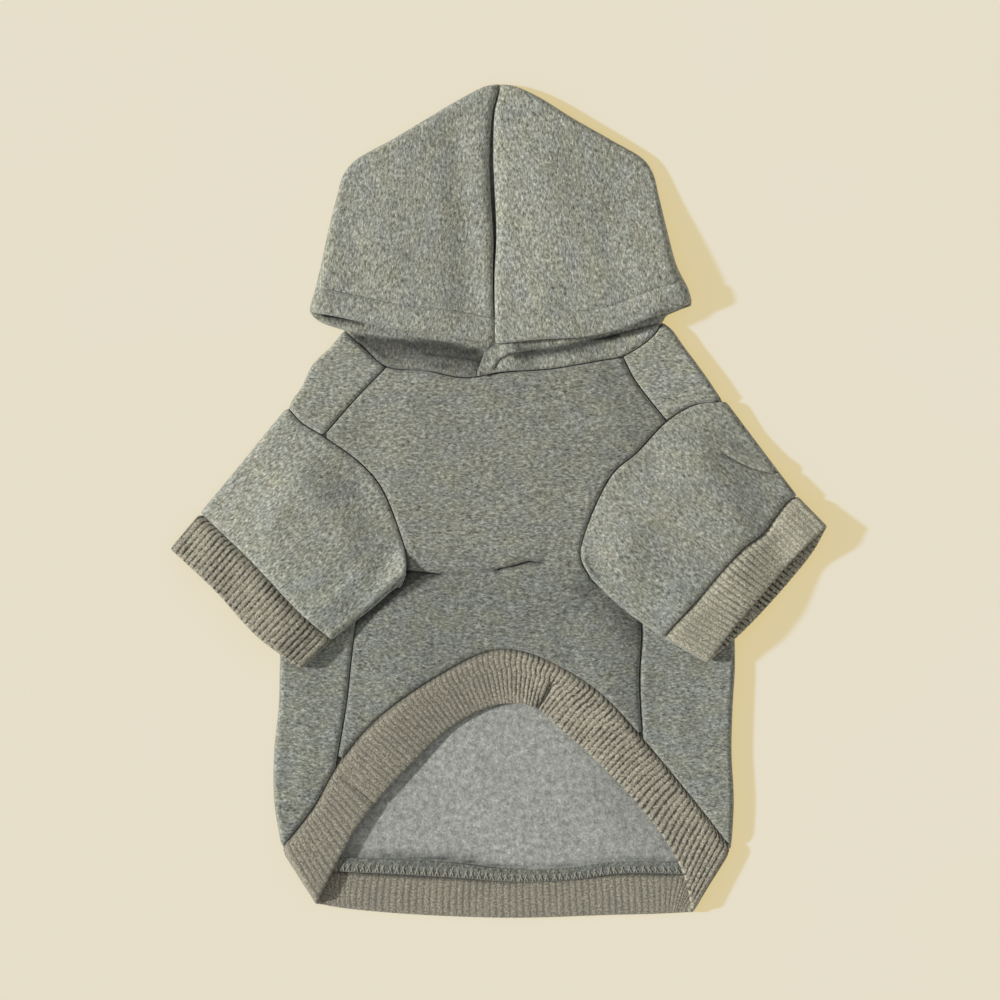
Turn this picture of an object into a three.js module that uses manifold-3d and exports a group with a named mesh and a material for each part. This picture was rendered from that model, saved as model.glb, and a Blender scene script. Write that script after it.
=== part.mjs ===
// A small dog's sweatshirt hoodie, laid flat on its back with the belly side up.
//
// Units are millimetres. +Y points from the hem to the hood, +Z is up from the surface that the garment
// lies on, and +X is to the right as seen from above. "Left" and "right" are as seen that way too. Each
// cut-and-sewn piece is a wall of cloth: a flattened tube, or a part of one, made of cross-sections between
// two outlines and then trimmed along its seams.

import * as THREE from "three";
import { mergeVertices } from "three/addons/utils/BufferGeometryUtils.js";
import Module from "manifold-3d";

const wasm = await Module();
wasm.setup();

// ---------------------------------------------------------------- driving dimensions

const CLOTH = 2; // brushed fleece
const RIB = 2.4; // rib knit, folded double
const SEAM_GAP = 0.3; // between two pieces that are sewn together
const OUTLINE_STEP = 8; // spacing of the points along a trimming outline
const FOLD_ANGLES = [0, 45, 90]; // where a rounded fold has its points, in degrees

// Heights of the middle of each layer above the surface.
const LEVEL = {
  back: CLOTH / 2,
  bandBack: RIB / 2,
  side: 5.2, // the top layer near the folded sides, pressed down by the sleeves
  belly: 7.7, // the top layer along the middle of the belly
};
const LAYER = CLOTH + SEAM_GAP; // from the middle of one layer to the next one lying on it
const SLEEVE_HOLLOW = 7; // from the lower wall of a sleeve to its upper wall
const SPLIT_HEIGHT = (LEVEL.back + LEVEL.side) / 2; // seams over it trim the top layer, others the back

// A table turns rows of numbers into objects with named columns.
const table = (columns, rows) =>
  rows.map((row) => Object.fromEntries(columns.map((name, i) => [name, row[i]])));

// The outer edges of the body, from the hem to the neck.
const BODY_SIDES = table(["y", "left", "right"], [
  [-169, -88, 95],
  [-163, -91, 97.5],
  [-152.5, -95.2, 102.4],
  [-132, -98.5, 103.5],
  [-110, -98.5, 102.5],
  [-90, -96.5, 103],
  [-71, -96, 104],
  [-17, -94.5, 102],
  [41, -92, 99.4],
  [50, -86.5, 94.5],
  [60, -81.5, 87.5],
  [68, -73.5, 81.5],
  [75, -67.8, 76.5],
  [83, -62, 71],
]);

// The outer edges of the hood, from the lip to its point.
const HOOD_SIDES = table(["y", "left", "right"], [
  [64, -83.5, 85.5],
  [84, -83.2, 85.5],
  [93, -80.5, 83.5],
  [103, -78, 78.5],
  [117.5, -75, 74.5],
  [133, -71.2, 70.8],
  [144, -67.8, 68],
  [150, -62.5, 64],
  [159, -46.5, 49],
  [168, -31.5, 33.2],
  [178, -14.5, 17],
  [182.4, -5.5, 7],
]);

// The height of the hood's top layer over its centre seam, and how far its right half stands above that.
const HOOD_LEVELS = table(["y", "centre", "rightRise"], [
  [64, 14.4, 0.6],
  [84, 14.3, 0.8],
  [103, 12.6, 0.8],
  [133, 9.6, 0.4],
  [159, 7.4, 0],
  [178, 5, 0],
  [182.4, 3.3, 0],
]);

// Seams and free edges in plan, each from the left to the right, or from the top to the bottom.
const EDGES = {
  neckFront: [
    [-67.8, 75], [-59, 67], [-49, 59], [-31, 57], [-14, 54], [1.5, 56.5], [22, 57.8],
    [44.5, 61.5], [54.5, 63.5], [67, 71.5], [74, 78.5],
  ],
  neckBack: [[-67.8, 75], [-43.5, 79], [0, 80.5], [44.5, 80.3], [74, 78.5]],
  raglanLeft: [[-49, 59], [-63, 44.5], [-77, 28.5]],
  raglanRight: [[54.5, 63.5], [60, 53], [74, 35]],
  armholeLeft: [
    [-92.6, 41], [-86.5, 34.5], [-77, 28.5], [-61, 17], [-52, 7], [-43.5, -13], [-40.5, -24],
    [-40.5, -32],
  ],
  armholeRight: [
    [99.8, 43.5], [86, 42], [74, 35], [60.5, 21], [51, 13], [43.5, 0], [37.5, -16], [36.5, -24],
    [41, -33],
  ],
  underarmLeft: [[-92.6, 41], [-95, 12], [-90, -8], [-75, -25], [-58, -35], [-44, -37.5], [-40.5, -32]],
  underarmRight: [[99.8, 43.5], [102.5, 12], [97, -8], [80, -26], [61, -37], [47, -38], [41, -33]],
  sideLeft: [[-58, -35], [-62.5, -54.5], [-65, -73.5], [-66.5, -87.5], [-71.5, -117.5]],
  sideRight: [[61, -37], [63, -54], [62, -77], [62.5, -92], [63.5, -104.5]],
  arch: [
    [-95.2, -152.5], [-80.5, -133.5], [-71.5, -117.5], [-56.5, -99], [-40.5, -85.5], [-23.5, -75],
    [-9, -67.5], [2.5, -65], [14, -67], [26.5, -72.5], [45, -84.5], [63.5, -104.5], [85.5, -131],
    [102.4, -152.5],
  ],
  archHem: [
    [-80, -177], [-68, -153.5], [-59, -139], [-37.5, -115], [-23.5, -101.5], [-9, -92.5],
    [4, -89], [16.5, -91], [28, -100.5], [45, -116], [62.5, -134.5], [75.5, -152], [82.5, -167],
    [85, -181],
  ],
  backSeam: [
    [-95.2, -152.5], [-82, -160.5], [-68, -163], [-17, -166], [9.5, -167], [55, -164], [84.5, -163],
    [102.4, -152.5],
  ],
  backHem: [[-80, -177], [-66, -179], [-37.5, -181.5], [5, -183], [53.5, -181.7], [85, -181]],
  lip: [
    [-84, 83], [-70, 80.5], [-43.5, 75], [-19.5, 72], [-1.5, 69], [16.5, 70.5], [39.5, 72],
    [53.5, 75], [69, 81], [86, 86],
  ],
  hoodCentre: [[0.8, 184], [-0.5, 177], [-2, 171], [-3, 149.5], [-1.5, 115], [-2, 99], [-1.5, 60]],
  collarLeft: [[-82.5, 82], [-68, 80], [-31, 75.5], [-4, 72]],
  collarRight: [[-3.5, 73], [18.5, 75], [40, 77], [62.5, 82], [84.5, 85]],
};

// The two sleeves. "tip" is the height of the middle of the lower wall at the cuff's outer corner, and "sag"
// is how far the underarm edge bows outwards.
const SLEEVES = table(["side", "armhole", "underarm", "seam", "tip", "sag"], [
  ["left", "armholeLeft", "underarmLeft", [[-131, -5.2], [-107.5, -27.5], [-72.6, -60.6]], 1.9, 3.5],
  ["right", "armholeRight", "underarmRight", [[131.6, 2], [107, -21.5], [72, -59.8]], 5.6, 1],
]);

// The free edges of the cuffs, from the outer corner to the underarm corner.
const CUFF_LIPS = table(["side", "upper", "lower"], [
  [
    "left",
    [[-144.2, -21], [-124.5, -39], [-105.5, -59.5], [-86, -73.6]],
    [[-144.2, -21], [-124.5, -39.5], [-105.5, -60], [-86, -73.6]],
  ],
  [
    "right",
    [[144.2, -11], [125, -33], [102.5, -56.5], [92.5, -71]],
    [[144.2, -11], [130, -32], [110.5, -53.5], [92.5, -71]],
  ],
]);

// ---------------------------------------------------------------- curves and levels

const smooth = (t) => THREE.MathUtils.smoothstep(t, 0, 1);
const { lerp, clamp, degToRad } = THREE.MathUtils;

const curve = (points) =>
  new THREE.CatmullRomCurve3(
    points.map(([x, y]) => new THREE.Vector3(x, y, 0)),
    false,
    "centripetal",
  );

const line = (a, b) => new THREE.LineCurve3(new THREE.Vector3(...a, 0), new THREE.Vector3(...b, 0));

// The values of a table's columns at y, on a smooth line through its rows.
function lookUp(rows, y) {
  const last = rows.length - 1;
  const found = rows.findIndex((row) => row.y > y);
  const i = clamp(found < 0 ? last : found, 1, last) - 1;
  const t = clamp((y - rows[i].y) / (rows[i + 1].y - rows[i].y), 0, 1);
  const slope = (k, name) => {
    const [a, b] = [rows[Math.max(k - 1, 0)], rows[Math.min(k + 1, last)]];
    return ((b[name] - a[name]) / (b.y - a.y)) * (rows[i + 1].y - rows[i].y);
  };
  const at = (name) =>
    (2 * t ** 3 - 3 * t ** 2 + 1) * rows[i][name] +
    (t ** 3 - 2 * t ** 2 + t) * slope(i, name) +
    (3 * t ** 2 - 2 * t ** 3) * rows[i + 1][name] +
    (t ** 3 - t ** 2) * slope(i + 1, name);
  return Object.fromEntries(Object.keys(rows[0]).map((name) => [name, at(name)]));
}

// The fold across the chest between the underarms: the upper part bulges over the lower one.
const CHEST_FOLD = { y: -30, left: -44, right: 46, height: 1.5, width: 3.5, drop: 6, dip: 0.25 };

function chestFold(x, y) {
  const { left, right, height, width, drop, dip } = CHEST_FOLD;
  const across = clamp((x - left) / (right - left), 0, 1);
  const tall = height * (1 - 0.5 * across) * Math.sin(Math.PI * across) ** 0.5;
  const bump = (middle) => Math.exp(-(((y - middle) / width) ** 2));
  return tall * (bump(CHEST_FOLD.y) - dip * bump(CHEST_FOLD.y - drop));
}

// The middle of the body's top layer above a point of the plan.
const PRESSED = { from: 30, over: 26 }; // distances in from the folded side over which the layer rises

function bodyLevel(x, y) {
  const { left, right } = lookUp(BODY_SIDES, y);
  const inwards = Math.min(x - left, right - x);
  const rise = smooth((inwards - PRESSED.from) / PRESSED.over);
  return lerp(LEVEL.side, LEVEL.belly, rise) + chestFold(x, y);
}

// ---------------------------------------------------------------- walls of cloth

// One cross-section of a flattened tube: along its upper layer from the first end to the last one, then
// back along its lower layer. Both layers are plan curves with the same two ends, and a level at each point.
// An end is a rounded fold or is left open.
function section({ upper, lower, upperLevel, lowerLevel, steps, folds, cloth = CLOTH }) {
  const layer = (path, count) => {
    const length = path.getLength();
    const radiusAt = (end) => {
      const p = path.getPointAt(end);
      return (upperLevel(p.x, p.y, end) - lowerLevel(p.x, p.y, end)) / 2;
    };
    // A mark is a distance along the path, and how far round the fold it is: 0 at its edge, 1 past it.
    const fold = (end) => {
      const radius = radiusAt(end);
      return FOLD_ANGLES.map((angle) => {
        const inwards = cloth / 2 + radius * (1 - Math.cos(degToRad(angle)));
        return [end ? length - inwards : inwards, Math.sin(degToRad(angle))];
      });
    };
    const first = folds[0] ? fold(0) : [[0, 1]];
    const last = folds[1] ? fold(1).reverse() : [[length, 1]];
    const [start, stop] = [first.at(-1)[0], last[0][0]];
    const flat = Array.from({ length: count - 1 }, (_, k) => [lerp(start, stop, (k + 1) / count), 1]);
    const marks = [...first, ...flat, ...last];
    return marks.map(([distance, turn]) => {
      const share = distance / length;
      return { ...path.getPointAt(share), turn, share };
    });
  };
  const place = (p, side) => {
    const [low, high] = [lowerLevel(p.x, p.y, p.share), upperLevel(p.x, p.y, p.share)];
    return new THREE.Vector3(p.x, p.y, (low + high) / 2 + (side * p.turn * (high - low)) / 2);
  };
  const top = layer(upper, steps[0]).map((p) => place(p, 1));
  const bottom = layer(lower, steps[1]).reverse().map((p) => place(p, -1));
  return [...top, ...bottom.slice(folds[1] ? 1 : 0, folds[0] ? -1 : undefined)];
}

// The grid's points moved out along its normals. A ring closes on itself along each row.
function offsetGrid(rows, distance, ring) {
  const [count, around] = [rows.length, rows[0].length];
  const near = (i, j) => {
    const k = ring ? (j + around) % around : clamp(j, 0, around - 1);
    return rows[clamp(i, 0, count - 1)][k];
  };
  return rows.map((row, i) =>
    row.map((p, j) => {
      const along = near(i + 1, j).clone().sub(near(i - 1, j));
      const across = near(i, j + 1).clone().sub(near(i, j - 1));
      return p.clone().addScaledVector(across.cross(along).normalize(), distance);
    }),
  );
}

// A closed body from lists of points and of corners, with its faces turned to point out.
function solid(points, triangles) {
  const vertProperties = new Float32Array(points.flatMap((p) => [p.x, p.y, p.z]));
  const make = (corners) =>
    new wasm.Manifold(new wasm.Mesh({ numProp: 3, vertProperties, triVerts: new Uint32Array(corners) }));
  const made = make(triangles.flat());
  return made.volume() > 0 ? made : make(triangles.flatMap(([a, b, c]) => [a, c, b]));
}

const quad = (a, b, c, d) => [[a, b, c], [a, c, d]];

// A wall of cloth through the grid, with its rims closed.
function wall(rows, ring, cloth = CLOTH) {
  const [count, around] = [rows.length, rows[0].length];
  const points = [cloth / 2, -cloth / 2].flatMap((d) => offsetGrid(rows, d, ring).flat());
  const at = (face, i, j) => face * count * around + i * around + (j % around);
  const triangles = [];
  const lastAround = ring ? around : around - 1;
  for (let i = 0; i < count - 1; i++)
    for (let j = 0; j < lastAround; j++) {
      triangles.push(...quad(at(0, i, j), at(0, i, j + 1), at(0, i + 1, j + 1), at(0, i + 1, j)));
      triangles.push(...quad(at(1, i, j), at(1, i + 1, j), at(1, i + 1, j + 1), at(1, i, j + 1)));
    }
  for (let j = 0; j < lastAround; j++) {
    triangles.push(...quad(at(0, 0, j), at(1, 0, j), at(1, 0, j + 1), at(0, 0, j + 1)));
    const end = count - 1;
    triangles.push(...quad(at(0, end, j), at(0, end, j + 1), at(1, end, j + 1), at(1, end, j)));
  }
  if (!ring)
    for (let i = 0; i < count - 1; i++) {
      const end = around - 1;
      triangles.push(...quad(at(0, i, 0), at(0, i + 1, 0), at(1, i + 1, 0), at(1, i, 0)));
      triangles.push(...quad(at(0, i, end), at(1, i, end), at(1, i + 1, end), at(0, i + 1, end)));
    }
  return solid(points, triangles);
}

// The whole space inside a ring grid's outer face, moved out by the distance.
function filled(rows, distance) {
  const [count, around] = [rows.length, rows[0].length];
  const points = offsetGrid(rows, distance, true).flat();
  const triangles = [];
  for (let i = 0; i < count - 1; i++)
    for (let j = 0; j < around; j++) {
      const k = (j + 1) % around;
      const [low, high] = [i * around, (i + 1) * around];
      triangles.push(...quad(low + j, low + k, high + k, high + j));
    }
  for (const [row, flip] of [[0, true], [count - 1, false]]) {
    const middle = points.length;
    const rim = points.slice(row * around, (row + 1) * around);
    points.push(rim.reduce((sum, p) => sum.add(p), new THREE.Vector3()).divideScalar(around));
    for (let j = 0; j < around; j++) {
      const [a, b] = [row * around + j, row * around + ((j + 1) % around)];
      triangles.push(flip ? [middle, b, a] : [middle, a, b]);
    }
  }
  return solid(points, triangles);
}

// ---------------------------------------------------------------- trimming along seams

const FAR = 240; // beyond every piece, in plan
const BELOW_HEM = { left: [-80, -FAR], right: [70, -FAR] }; // where the side seams' lines leave the body
const CUT = { bottom: -5, split: SPLIT_HEIGHT, top: 60 };

// Points along a named edge, close enough together for trimming.
function edge(name, reversed = false) {
  const path = curve(EDGES[name]);
  const points = path.getSpacedPoints(Math.ceil(path.getLength() / OUTLINE_STEP)).map(({ x, y }) => [x, y]);
  return reversed ? points.reverse() : points;
}

// A closed outline moved outwards by a distance, or inwards if it is negative.
function grow(outline, distance) {
  const points = outline.map(([x, y]) => new THREE.Vector2(x, y));
  if (THREE.ShapeUtils.isClockWise(points)) points.reverse();
  const outward = (a, b) => new THREE.Vector2(b.y - a.y, a.x - b.x).normalize();
  return points.map((p, i) => {
    const before = points.at(i - 1);
    const after = points[(i + 1) % points.length];
    const [n, m] = [outward(before, p), outward(p, after)];
    return p.clone().addScaledVector(n.add(m), distance / (1 + outward(before, p).dot(m)));
  });
}

// An upright block over a closed outline, from one height to another.
function block(outline, from, to) {
  const geometry = new THREE.ExtrudeGeometry(new THREE.Shape(outline), {
    depth: to - from,
    bevelEnabled: false,
    curveSegments: 1,
  }).translate(0, 0, from);
  geometry.deleteAttribute("normal").deleteAttribute("uv");
  const merged = mergeVertices(geometry, 1e-4);
  return new wasm.Manifold(
    new wasm.Mesh({
      numProp: 3,
      vertProperties: merged.attributes.position.array,
      triVerts: new Uint32Array(merged.index.array),
    }),
  );
}

// The plan beyond an edge that runs from left to right: above it for direction 1, below it for -1.
function beyond(points, direction) {
  const [first, last] = [points[0], points.at(-1)];
  return [[-FAR, first[1]], ...points, [FAR, last[1]], [FAR, direction * FAR], [-FAR, direction * FAR]];
}

const HALF_GAP = SEAM_GAP / 2;
const topCut = (outline, gap = HALF_GAP) => block(grow(outline, gap), CUT.split - gap, CUT.top);
const backCut = (outline, gap = HALF_GAP) => block(grow(outline, gap), CUT.bottom, CUT.split + gap);

const bellyRegion = [
  ...edge("raglanRight"),
  ...edge("sideRight"),
  BELOW_HEM.right,
  BELOW_HEM.left,
  ...edge("sideLeft", true),
  ...edge("raglanLeft", true),
  [EDGES.raglanLeft[0][0], FAR],
  [EDGES.raglanRight[0][0], FAR],
];
const armholeRegions = SLEEVES.map(({ armhole, underarm }) => [
  ...edge(armhole),
  ...edge(underarm, true).slice(1, -1),
]);
const neckSide = { left: [-83.8, 82.5], right: [85.8, 86] }; // where the hood's fold meets its lip

// ---------------------------------------------------------------- body

const BODY_STATIONS = [
  -169, -152.5, -142, -132, -110, -90, -71, -46, -40, -36, -33, -30, -26, -18, 12, 41, 50, 60, 68, 75, 83,
];

const bodyRows = BODY_STATIONS.map((y) => {
  const { left, right } = lookUp(BODY_SIDES, y);
  const path = line([left, y], [right, y]);
  return section({
    upper: path,
    lower: path,
    upperLevel: bodyLevel,
    lowerLevel: () => LEVEL.back,
    steps: [12, 2],
    folds: [true, true],
  });
});

const ABOVE_BACK = CLOTH + 0.15; // the armholes leave the back layer whole

function bodyPieces() {
  const trimmed = wall(bodyRows, true)
    .subtract(topCut(beyond(edge("neckFront"), 1)))
    .subtract(backCut(beyond(edge("neckBack"), 1)))
    .subtract(topCut(beyond(edge("arch"), -1)))
    .subtract(backCut(beyond(edge("backSeam"), -1)));
  const opened = armholeRegions.reduce(
    (body, region) => body.subtract(block(grow(region, HALF_GAP), ABOVE_BACK, CUT.top)),
    trimmed,
  );
  return {
    belly_panel: opened.intersect(topCut(bellyRegion, -HALF_GAP)),
    back_panel: opened.subtract(topCut(bellyRegion)),
  };
}

// The space that the pieces sewn to the body keep out of: the body with its gap, filled, less the armholes.
function bodyClearance() {
  const space = filled(bodyRows, CLOTH / 2 + SEAM_GAP)
    .subtract(topCut(beyond(edge("neckFront"), 1), -HALF_GAP))
    .subtract(backCut(beyond(edge("neckBack"), 1), -HALF_GAP))
    .subtract(topCut(beyond(edge("arch"), -1), -HALF_GAP))
    .subtract(backCut(beyond(edge("backSeam"), -1), -HALF_GAP));
  return armholeRegions.reduce(
    (body, region) => body.subtract(block(grow(region, -HALF_GAP), ABOVE_BACK + SEAM_GAP, CUT.top)),
    space,
  );
}

// ---------------------------------------------------------------- sleeves and cuffs

const SLEEVE_STATIONS = [-0.08, 0, 0.08, 0.18, 0.4, 0.6, 0.8, 1];
const CUFF_STATIONS = [0, 0.35, 0.7, 1];
const CUFF_GAP = 0.45; // along the outer fold, which runs aslant to the seam
const SLEEVE_SLOPE = { from: 8, over: 20 }; // how far in from the outer fold the lower wall rises
const PUFF = 0.16; // share of the sleeve's length over which it rises from its armhole seam
const END_BLEND = 0.1; // share of the seam, at each end, over which that rise is taken back
const BLEND_POINTS = 24; // along a curve between two others

// The curve that lies between two others, moved out along the diagonal by the extra distance.
const between = (a, b, t, extra = () => 0) => {
  const at = (share) => {
    const [p, q] = [a.getPointAt(share), b.getPointAt(share)];
    return p.lerp(q, t).add(new THREE.Vector3(1, 1, 0).multiplyScalar(extra(share)));
  };
  const points = Array.from({ length: BLEND_POINTS + 1 }, (_, k) => at(k / BLEND_POINTS));
  return new THREE.CatmullRomCurve3(points);
};

// The lower wall of a sleeve lies on the body, and slopes down from its outer fold to the surface beyond.
function sleeveFloor(sleeve, reach, x, y, share, length) {
  const { left, right } = lookUp(BODY_SIDES, y);
  const over = x > left && x < right ? bodyLevel(x, y) : LEVEL.side;
  const edgeLevel = lerp(LEVEL.back + SEAM_GAP, sleeve.tip, clamp(reach, 0, 1));
  return lerp(edgeLevel, over + LAYER, smooth((share * length - SLEEVE_SLOPE.from) / SLEEVE_SLOPE.over));
}

function sleeveRows(sleeve) {
  const [top, under] = [curve(EDGES[sleeve.armhole]), curve(EDGES[sleeve.underarm])];
  const seam = curve(sleeve.seam);
  return SLEEVE_STATIONS.map((t) => {
    const bow = (share) => -sleeve.sag * Math.sin(Math.PI * clamp(t, 0, 1)) * share ** 2;
    const upper = between(top, seam, t, bow);
    const lower = between(under, seam, t, bow);
    const length = upper.getLength();
    const floor = (x, y, share) => sleeveFloor(sleeve, t, x, y, share, length);
    const full = (x, y, share) => floor(x, y, share) + SLEEVE_HOLLOW;
    const roof = (x, y, share) => {
      const nearEnd = 1 - smooth(Math.min(share, 1 - share) / END_BLEND);
      const risen = Math.max(smooth(t / PUFF), nearEnd);
      return lerp(bodyLevel(x, y), full(x, y, share), risen);
    };
    return section({
      upper,
      lower,
      upperLevel: roof,
      lowerLevel: floor,
      steps: [11, 6],
      folds: [true, true],
    });
  });
}

function cuffRows(sleeve) {
  const seam = curve(sleeve.seam);
  const lips = CUFF_LIPS.find(({ side }) => side === sleeve.side);
  const [upperLip, lowerLip] = [curve(lips.upper), curve(lips.lower)];
  const start = CUFF_GAP / upperLip.getPoint(0).distanceTo(seam.getPoint(0));
  return CUFF_STATIONS.map((station) => {
    const t = lerp(start, 1, station);
    const upper = between(seam, upperLip, t);
    const thicker = (RIB - CLOTH) / 2;
    const floor = (x, y, share) => sleeveFloor(sleeve, 1, x, y, share, upper.getLength()) + thicker;
    return section({
      upper,
      lower: between(seam, lowerLip, t),
      upperLevel: (x, y, share) => floor(x, y, share) + SLEEVE_HOLLOW,
      lowerLevel: floor,
      steps: [9, 6],
      folds: [true, true],
      cloth: RIB,
    });
  });
}

const largest = (made) => made.decompose().sort((a, b) => b.volume() - a.volume())[0];

// ---------------------------------------------------------------- hem band

const BAND_STATIONS = [0, 0.3, 0.65, 1];
const BAND_EDGE = { middle: 6.2, corner: 7.6 }; // height of the free edge over the arch
const BAND_DEPTH = 23;
const BAND_GAP = 0.36; // along the corners, which run aslant to the seam
const BAND_CORNER_Y = -150; // the body's levels are read no further down than this

function bandRows() {
  const [arch, archHem] = [curve(EDGES.arch), curve(EDGES.archHem)];
  const [backSeam, backHem] = [curve(EDGES.backSeam), curve(EDGES.backHem)];
  const start = BAND_GAP / BAND_DEPTH;
  return BAND_STATIONS.map((station) => {
    const t = lerp(start, 1, station);
    const roof = (x, y, share) => {
      const hem = lerp(BAND_EDGE.corner, BAND_EDGE.middle, Math.sin(Math.PI * share));
      return lerp(bodyLevel(x, Math.max(y, BAND_CORNER_Y)), hem, t);
    };
    return section({
      upper: between(arch, archHem, t),
      lower: between(backSeam, backHem, t),
      upperLevel: roof,
      lowerLevel: () => LEVEL.bandBack,
      steps: [32, 10],
      folds: [true, true],
      cloth: RIB,
    });
  });
}

// ---------------------------------------------------------------- hood

const HOOD_STATIONS = [64, 76, 86, 94, 103, 117.5, 133, 144, 150, 159, 168, 178, 182.4];
const HOOD_HALF_WIDTH = 80;
const SEAM_SAMPLES = 60; // along the hood's centre seam, to look up its place
const COLLAR_STATIONS = [-0.06, 0.5, 0.97];
const COLLAR_SAMPLES = 8; // along a collar part's share of the neck seam
const COLLAR_TOP_Y = 68; // the body's levels are read no further up than this
const HOOD_HALVES = table(["side", "direction", "overlapEnd", "free", "legNeck", "legHood"], [
  ["left", -1, 0.5, "collarLeft", [-48, 80.3], [-60, 98]],
  ["right", 1, 0.42, "collarRight", [52, 82], [62, 100]],
]);
const LAP = { from: 6, over: 12, height: LAYER + 0.2 }; // where the right collar end comes down off the left

function hoodLevel(x, y) {
  const { centre, rightRise } = lookUp(HOOD_LEVELS, y);
  return centre + rightRise * smooth(x / HOOD_HALF_WIDTH);
}

// One hood half is a wall from the top layer's centre seam round the side fold to the back layer's.
function hoodShell({ side, direction }) {
  const seam = curve(EDGES.hoodCentre);
  const seamPoints = seam.getSpacedPoints(SEAM_SAMPLES);
  const centreAt = (y) => {
    const k = seamPoints.findIndex((p) => p.y < y);
    return seamPoints[Math.max(k, 0)].x;
  };
  const rows = HOOD_STATIONS.map((y) => {
    const path = line([centreAt(y) + direction * HALF_GAP, y], [lookUp(HOOD_SIDES, y)[side], y]);
    return section({
      upper: path,
      lower: path,
      upperLevel: hoodLevel,
      lowerLevel: () => LEVEL.back,
      steps: [6, 2],
      folds: [false, true],
    });
  });
  return wall(rows, false).subtract(topCut(beyond(edge("lip"), -1), 0));
}

// The collar part of a hood half crosses the throat and folds under at the neck's side to join the back.
function collarPart({ side, direction, overlapEnd, free, legNeck, legHood }) {
  const neck = curve(EDGES.neckFront);
  const end = direction < 0 ? 0 : 1;
  const neckShare = (k) => lerp(overlapEnd, end, k / COLLAR_SAMPLES);
  const neckPart = curve(
    Array.from({ length: COLLAR_SAMPLES + 1 }, (_, k) => neck.getPointAt(neckShare(k)).toArray()),
  );
  const freePart = curve(edge(free, direction < 0));
  const rows = COLLAR_STATIONS.map((t) => {
    const upper = between(neckPart, freePart, t);
    const fold = upper.getPointAt(1);
    const inner = [lerp(legNeck[0], legHood[0], t), lerp(legNeck[1], legHood[1], t)];
    const lapLevel = (x) => (direction > 0 ? LAP.height * (1 - smooth((x - LAP.from) / LAP.over)) : 0);
    return section({
      upper,
      lower: line(inner, [fold.x, fold.y]),
      upperLevel: (x, y) => bodyLevel(x, Math.min(y, COLLAR_TOP_Y)) + lapLevel(x),
      lowerLevel: () => LEVEL.back,
      steps: [9, 2],
      folds: [false, true],
    });
  });
  return wall(rows, false).subtract(topCut(beyond(edge("neckFront"), -1)));
}

function hoodHalf(half) {
  const neckLine = [neckSide.left, ...edge("neckBack"), neckSide.right];
  return hoodShell(half).add(collarPart(half)).subtract(backCut(beyond(neckLine, -1)));
}

// ---------------------------------------------------------------- assembly

const GREY_MARL = new THREE.MeshStandardMaterial({ color: 0x8f8e84, roughness: 0.95, metalness: 0 });
const RIB_KNIT = new THREE.MeshStandardMaterial({ color: 0x86806f, roughness: 0.95, metalness: 0 });

const SLIVER = 0.01; // cuts between faces that graze each other leave slivers thinner than this

function meshOf(name, made, material) {
  const { vertProperties, triVerts } = made.simplify(SLIVER).getMesh();
  const geometry = new THREE.BufferGeometry();
  geometry.setAttribute("position", new THREE.BufferAttribute(vertProperties, 3));
  geometry.setIndex(new THREE.BufferAttribute(triVerts, 1));
  geometry.computeVertexNormals();
  const mesh = new THREE.Mesh(geometry, material.clone());
  mesh.name = name;
  return mesh;
}

const hoodie = new THREE.Group();
for (const [name, made] of Object.entries(bodyPieces())) hoodie.add(meshOf(name, made, GREY_MARL));
const clearance = bodyClearance();
for (const sleeve of SLEEVES) {
  const made = largest(wall(sleeveRows(sleeve), true).subtract(clearance));
  hoodie.add(meshOf(`sleeve_${sleeve.side}`, made, GREY_MARL));
  hoodie.add(meshOf(`cuff_${sleeve.side}`, wall(cuffRows(sleeve), true, RIB), RIB_KNIT));
}
hoodie.add(meshOf("hem_band", largest(wall(bandRows(), true, RIB).subtract(clearance)), RIB_KNIT));
for (const half of HOOD_HALVES) hoodie.add(meshOf(`hood_${half.side}`, largest(hoodHalf(half)), GREY_MARL));

export default hoodie;
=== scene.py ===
"""The looks of a small dog's sweatshirt hoodie that lies flat on its back, belly side up.

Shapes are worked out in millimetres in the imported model's frame: +Y from the hem to the hood, +Z up from the
surface that the garment lies on, +X to the right as seen from above. "Left" and "right" are as seen that way.
"""

import math
from functools import partial

import bpy
import numpy as np
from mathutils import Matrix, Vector, geometry


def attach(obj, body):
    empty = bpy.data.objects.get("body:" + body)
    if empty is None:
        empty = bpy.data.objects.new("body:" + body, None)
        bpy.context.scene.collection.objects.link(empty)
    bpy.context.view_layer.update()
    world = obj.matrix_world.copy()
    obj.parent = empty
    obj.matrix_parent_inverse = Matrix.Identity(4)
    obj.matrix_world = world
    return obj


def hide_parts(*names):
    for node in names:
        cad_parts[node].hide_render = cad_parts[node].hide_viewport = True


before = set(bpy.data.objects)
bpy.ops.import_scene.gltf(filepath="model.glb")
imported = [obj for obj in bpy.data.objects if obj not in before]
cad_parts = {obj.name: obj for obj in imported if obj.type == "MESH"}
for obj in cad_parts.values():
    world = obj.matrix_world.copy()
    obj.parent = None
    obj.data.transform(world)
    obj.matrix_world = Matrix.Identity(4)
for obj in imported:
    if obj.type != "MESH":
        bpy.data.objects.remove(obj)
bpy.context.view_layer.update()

# ---------------------------------------------------------------- driving sizes, in millimetres

MM = 0.001
CLOTH = 2.0  # brushed fleece
RIB = 2.4  # rib knit, folded double
SEAM_GAP = 0.3
RIB_PITCH = 2.55
LEVEL_BACK = CLOTH / 2  # middle of the back layer
LEVEL_SIDE = 5.2  # middle of the top layer near the folded sides
LEVEL_BELLY = 7.7  # and along the middle of the belly
LAYER = CLOTH + SEAM_GAP


def table(columns, rows):
    """Rows of numbers as a dictionary of named columns."""
    return {name: np.array([row[i] for row in rows], float) for i, name in enumerate(columns.split())}


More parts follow.
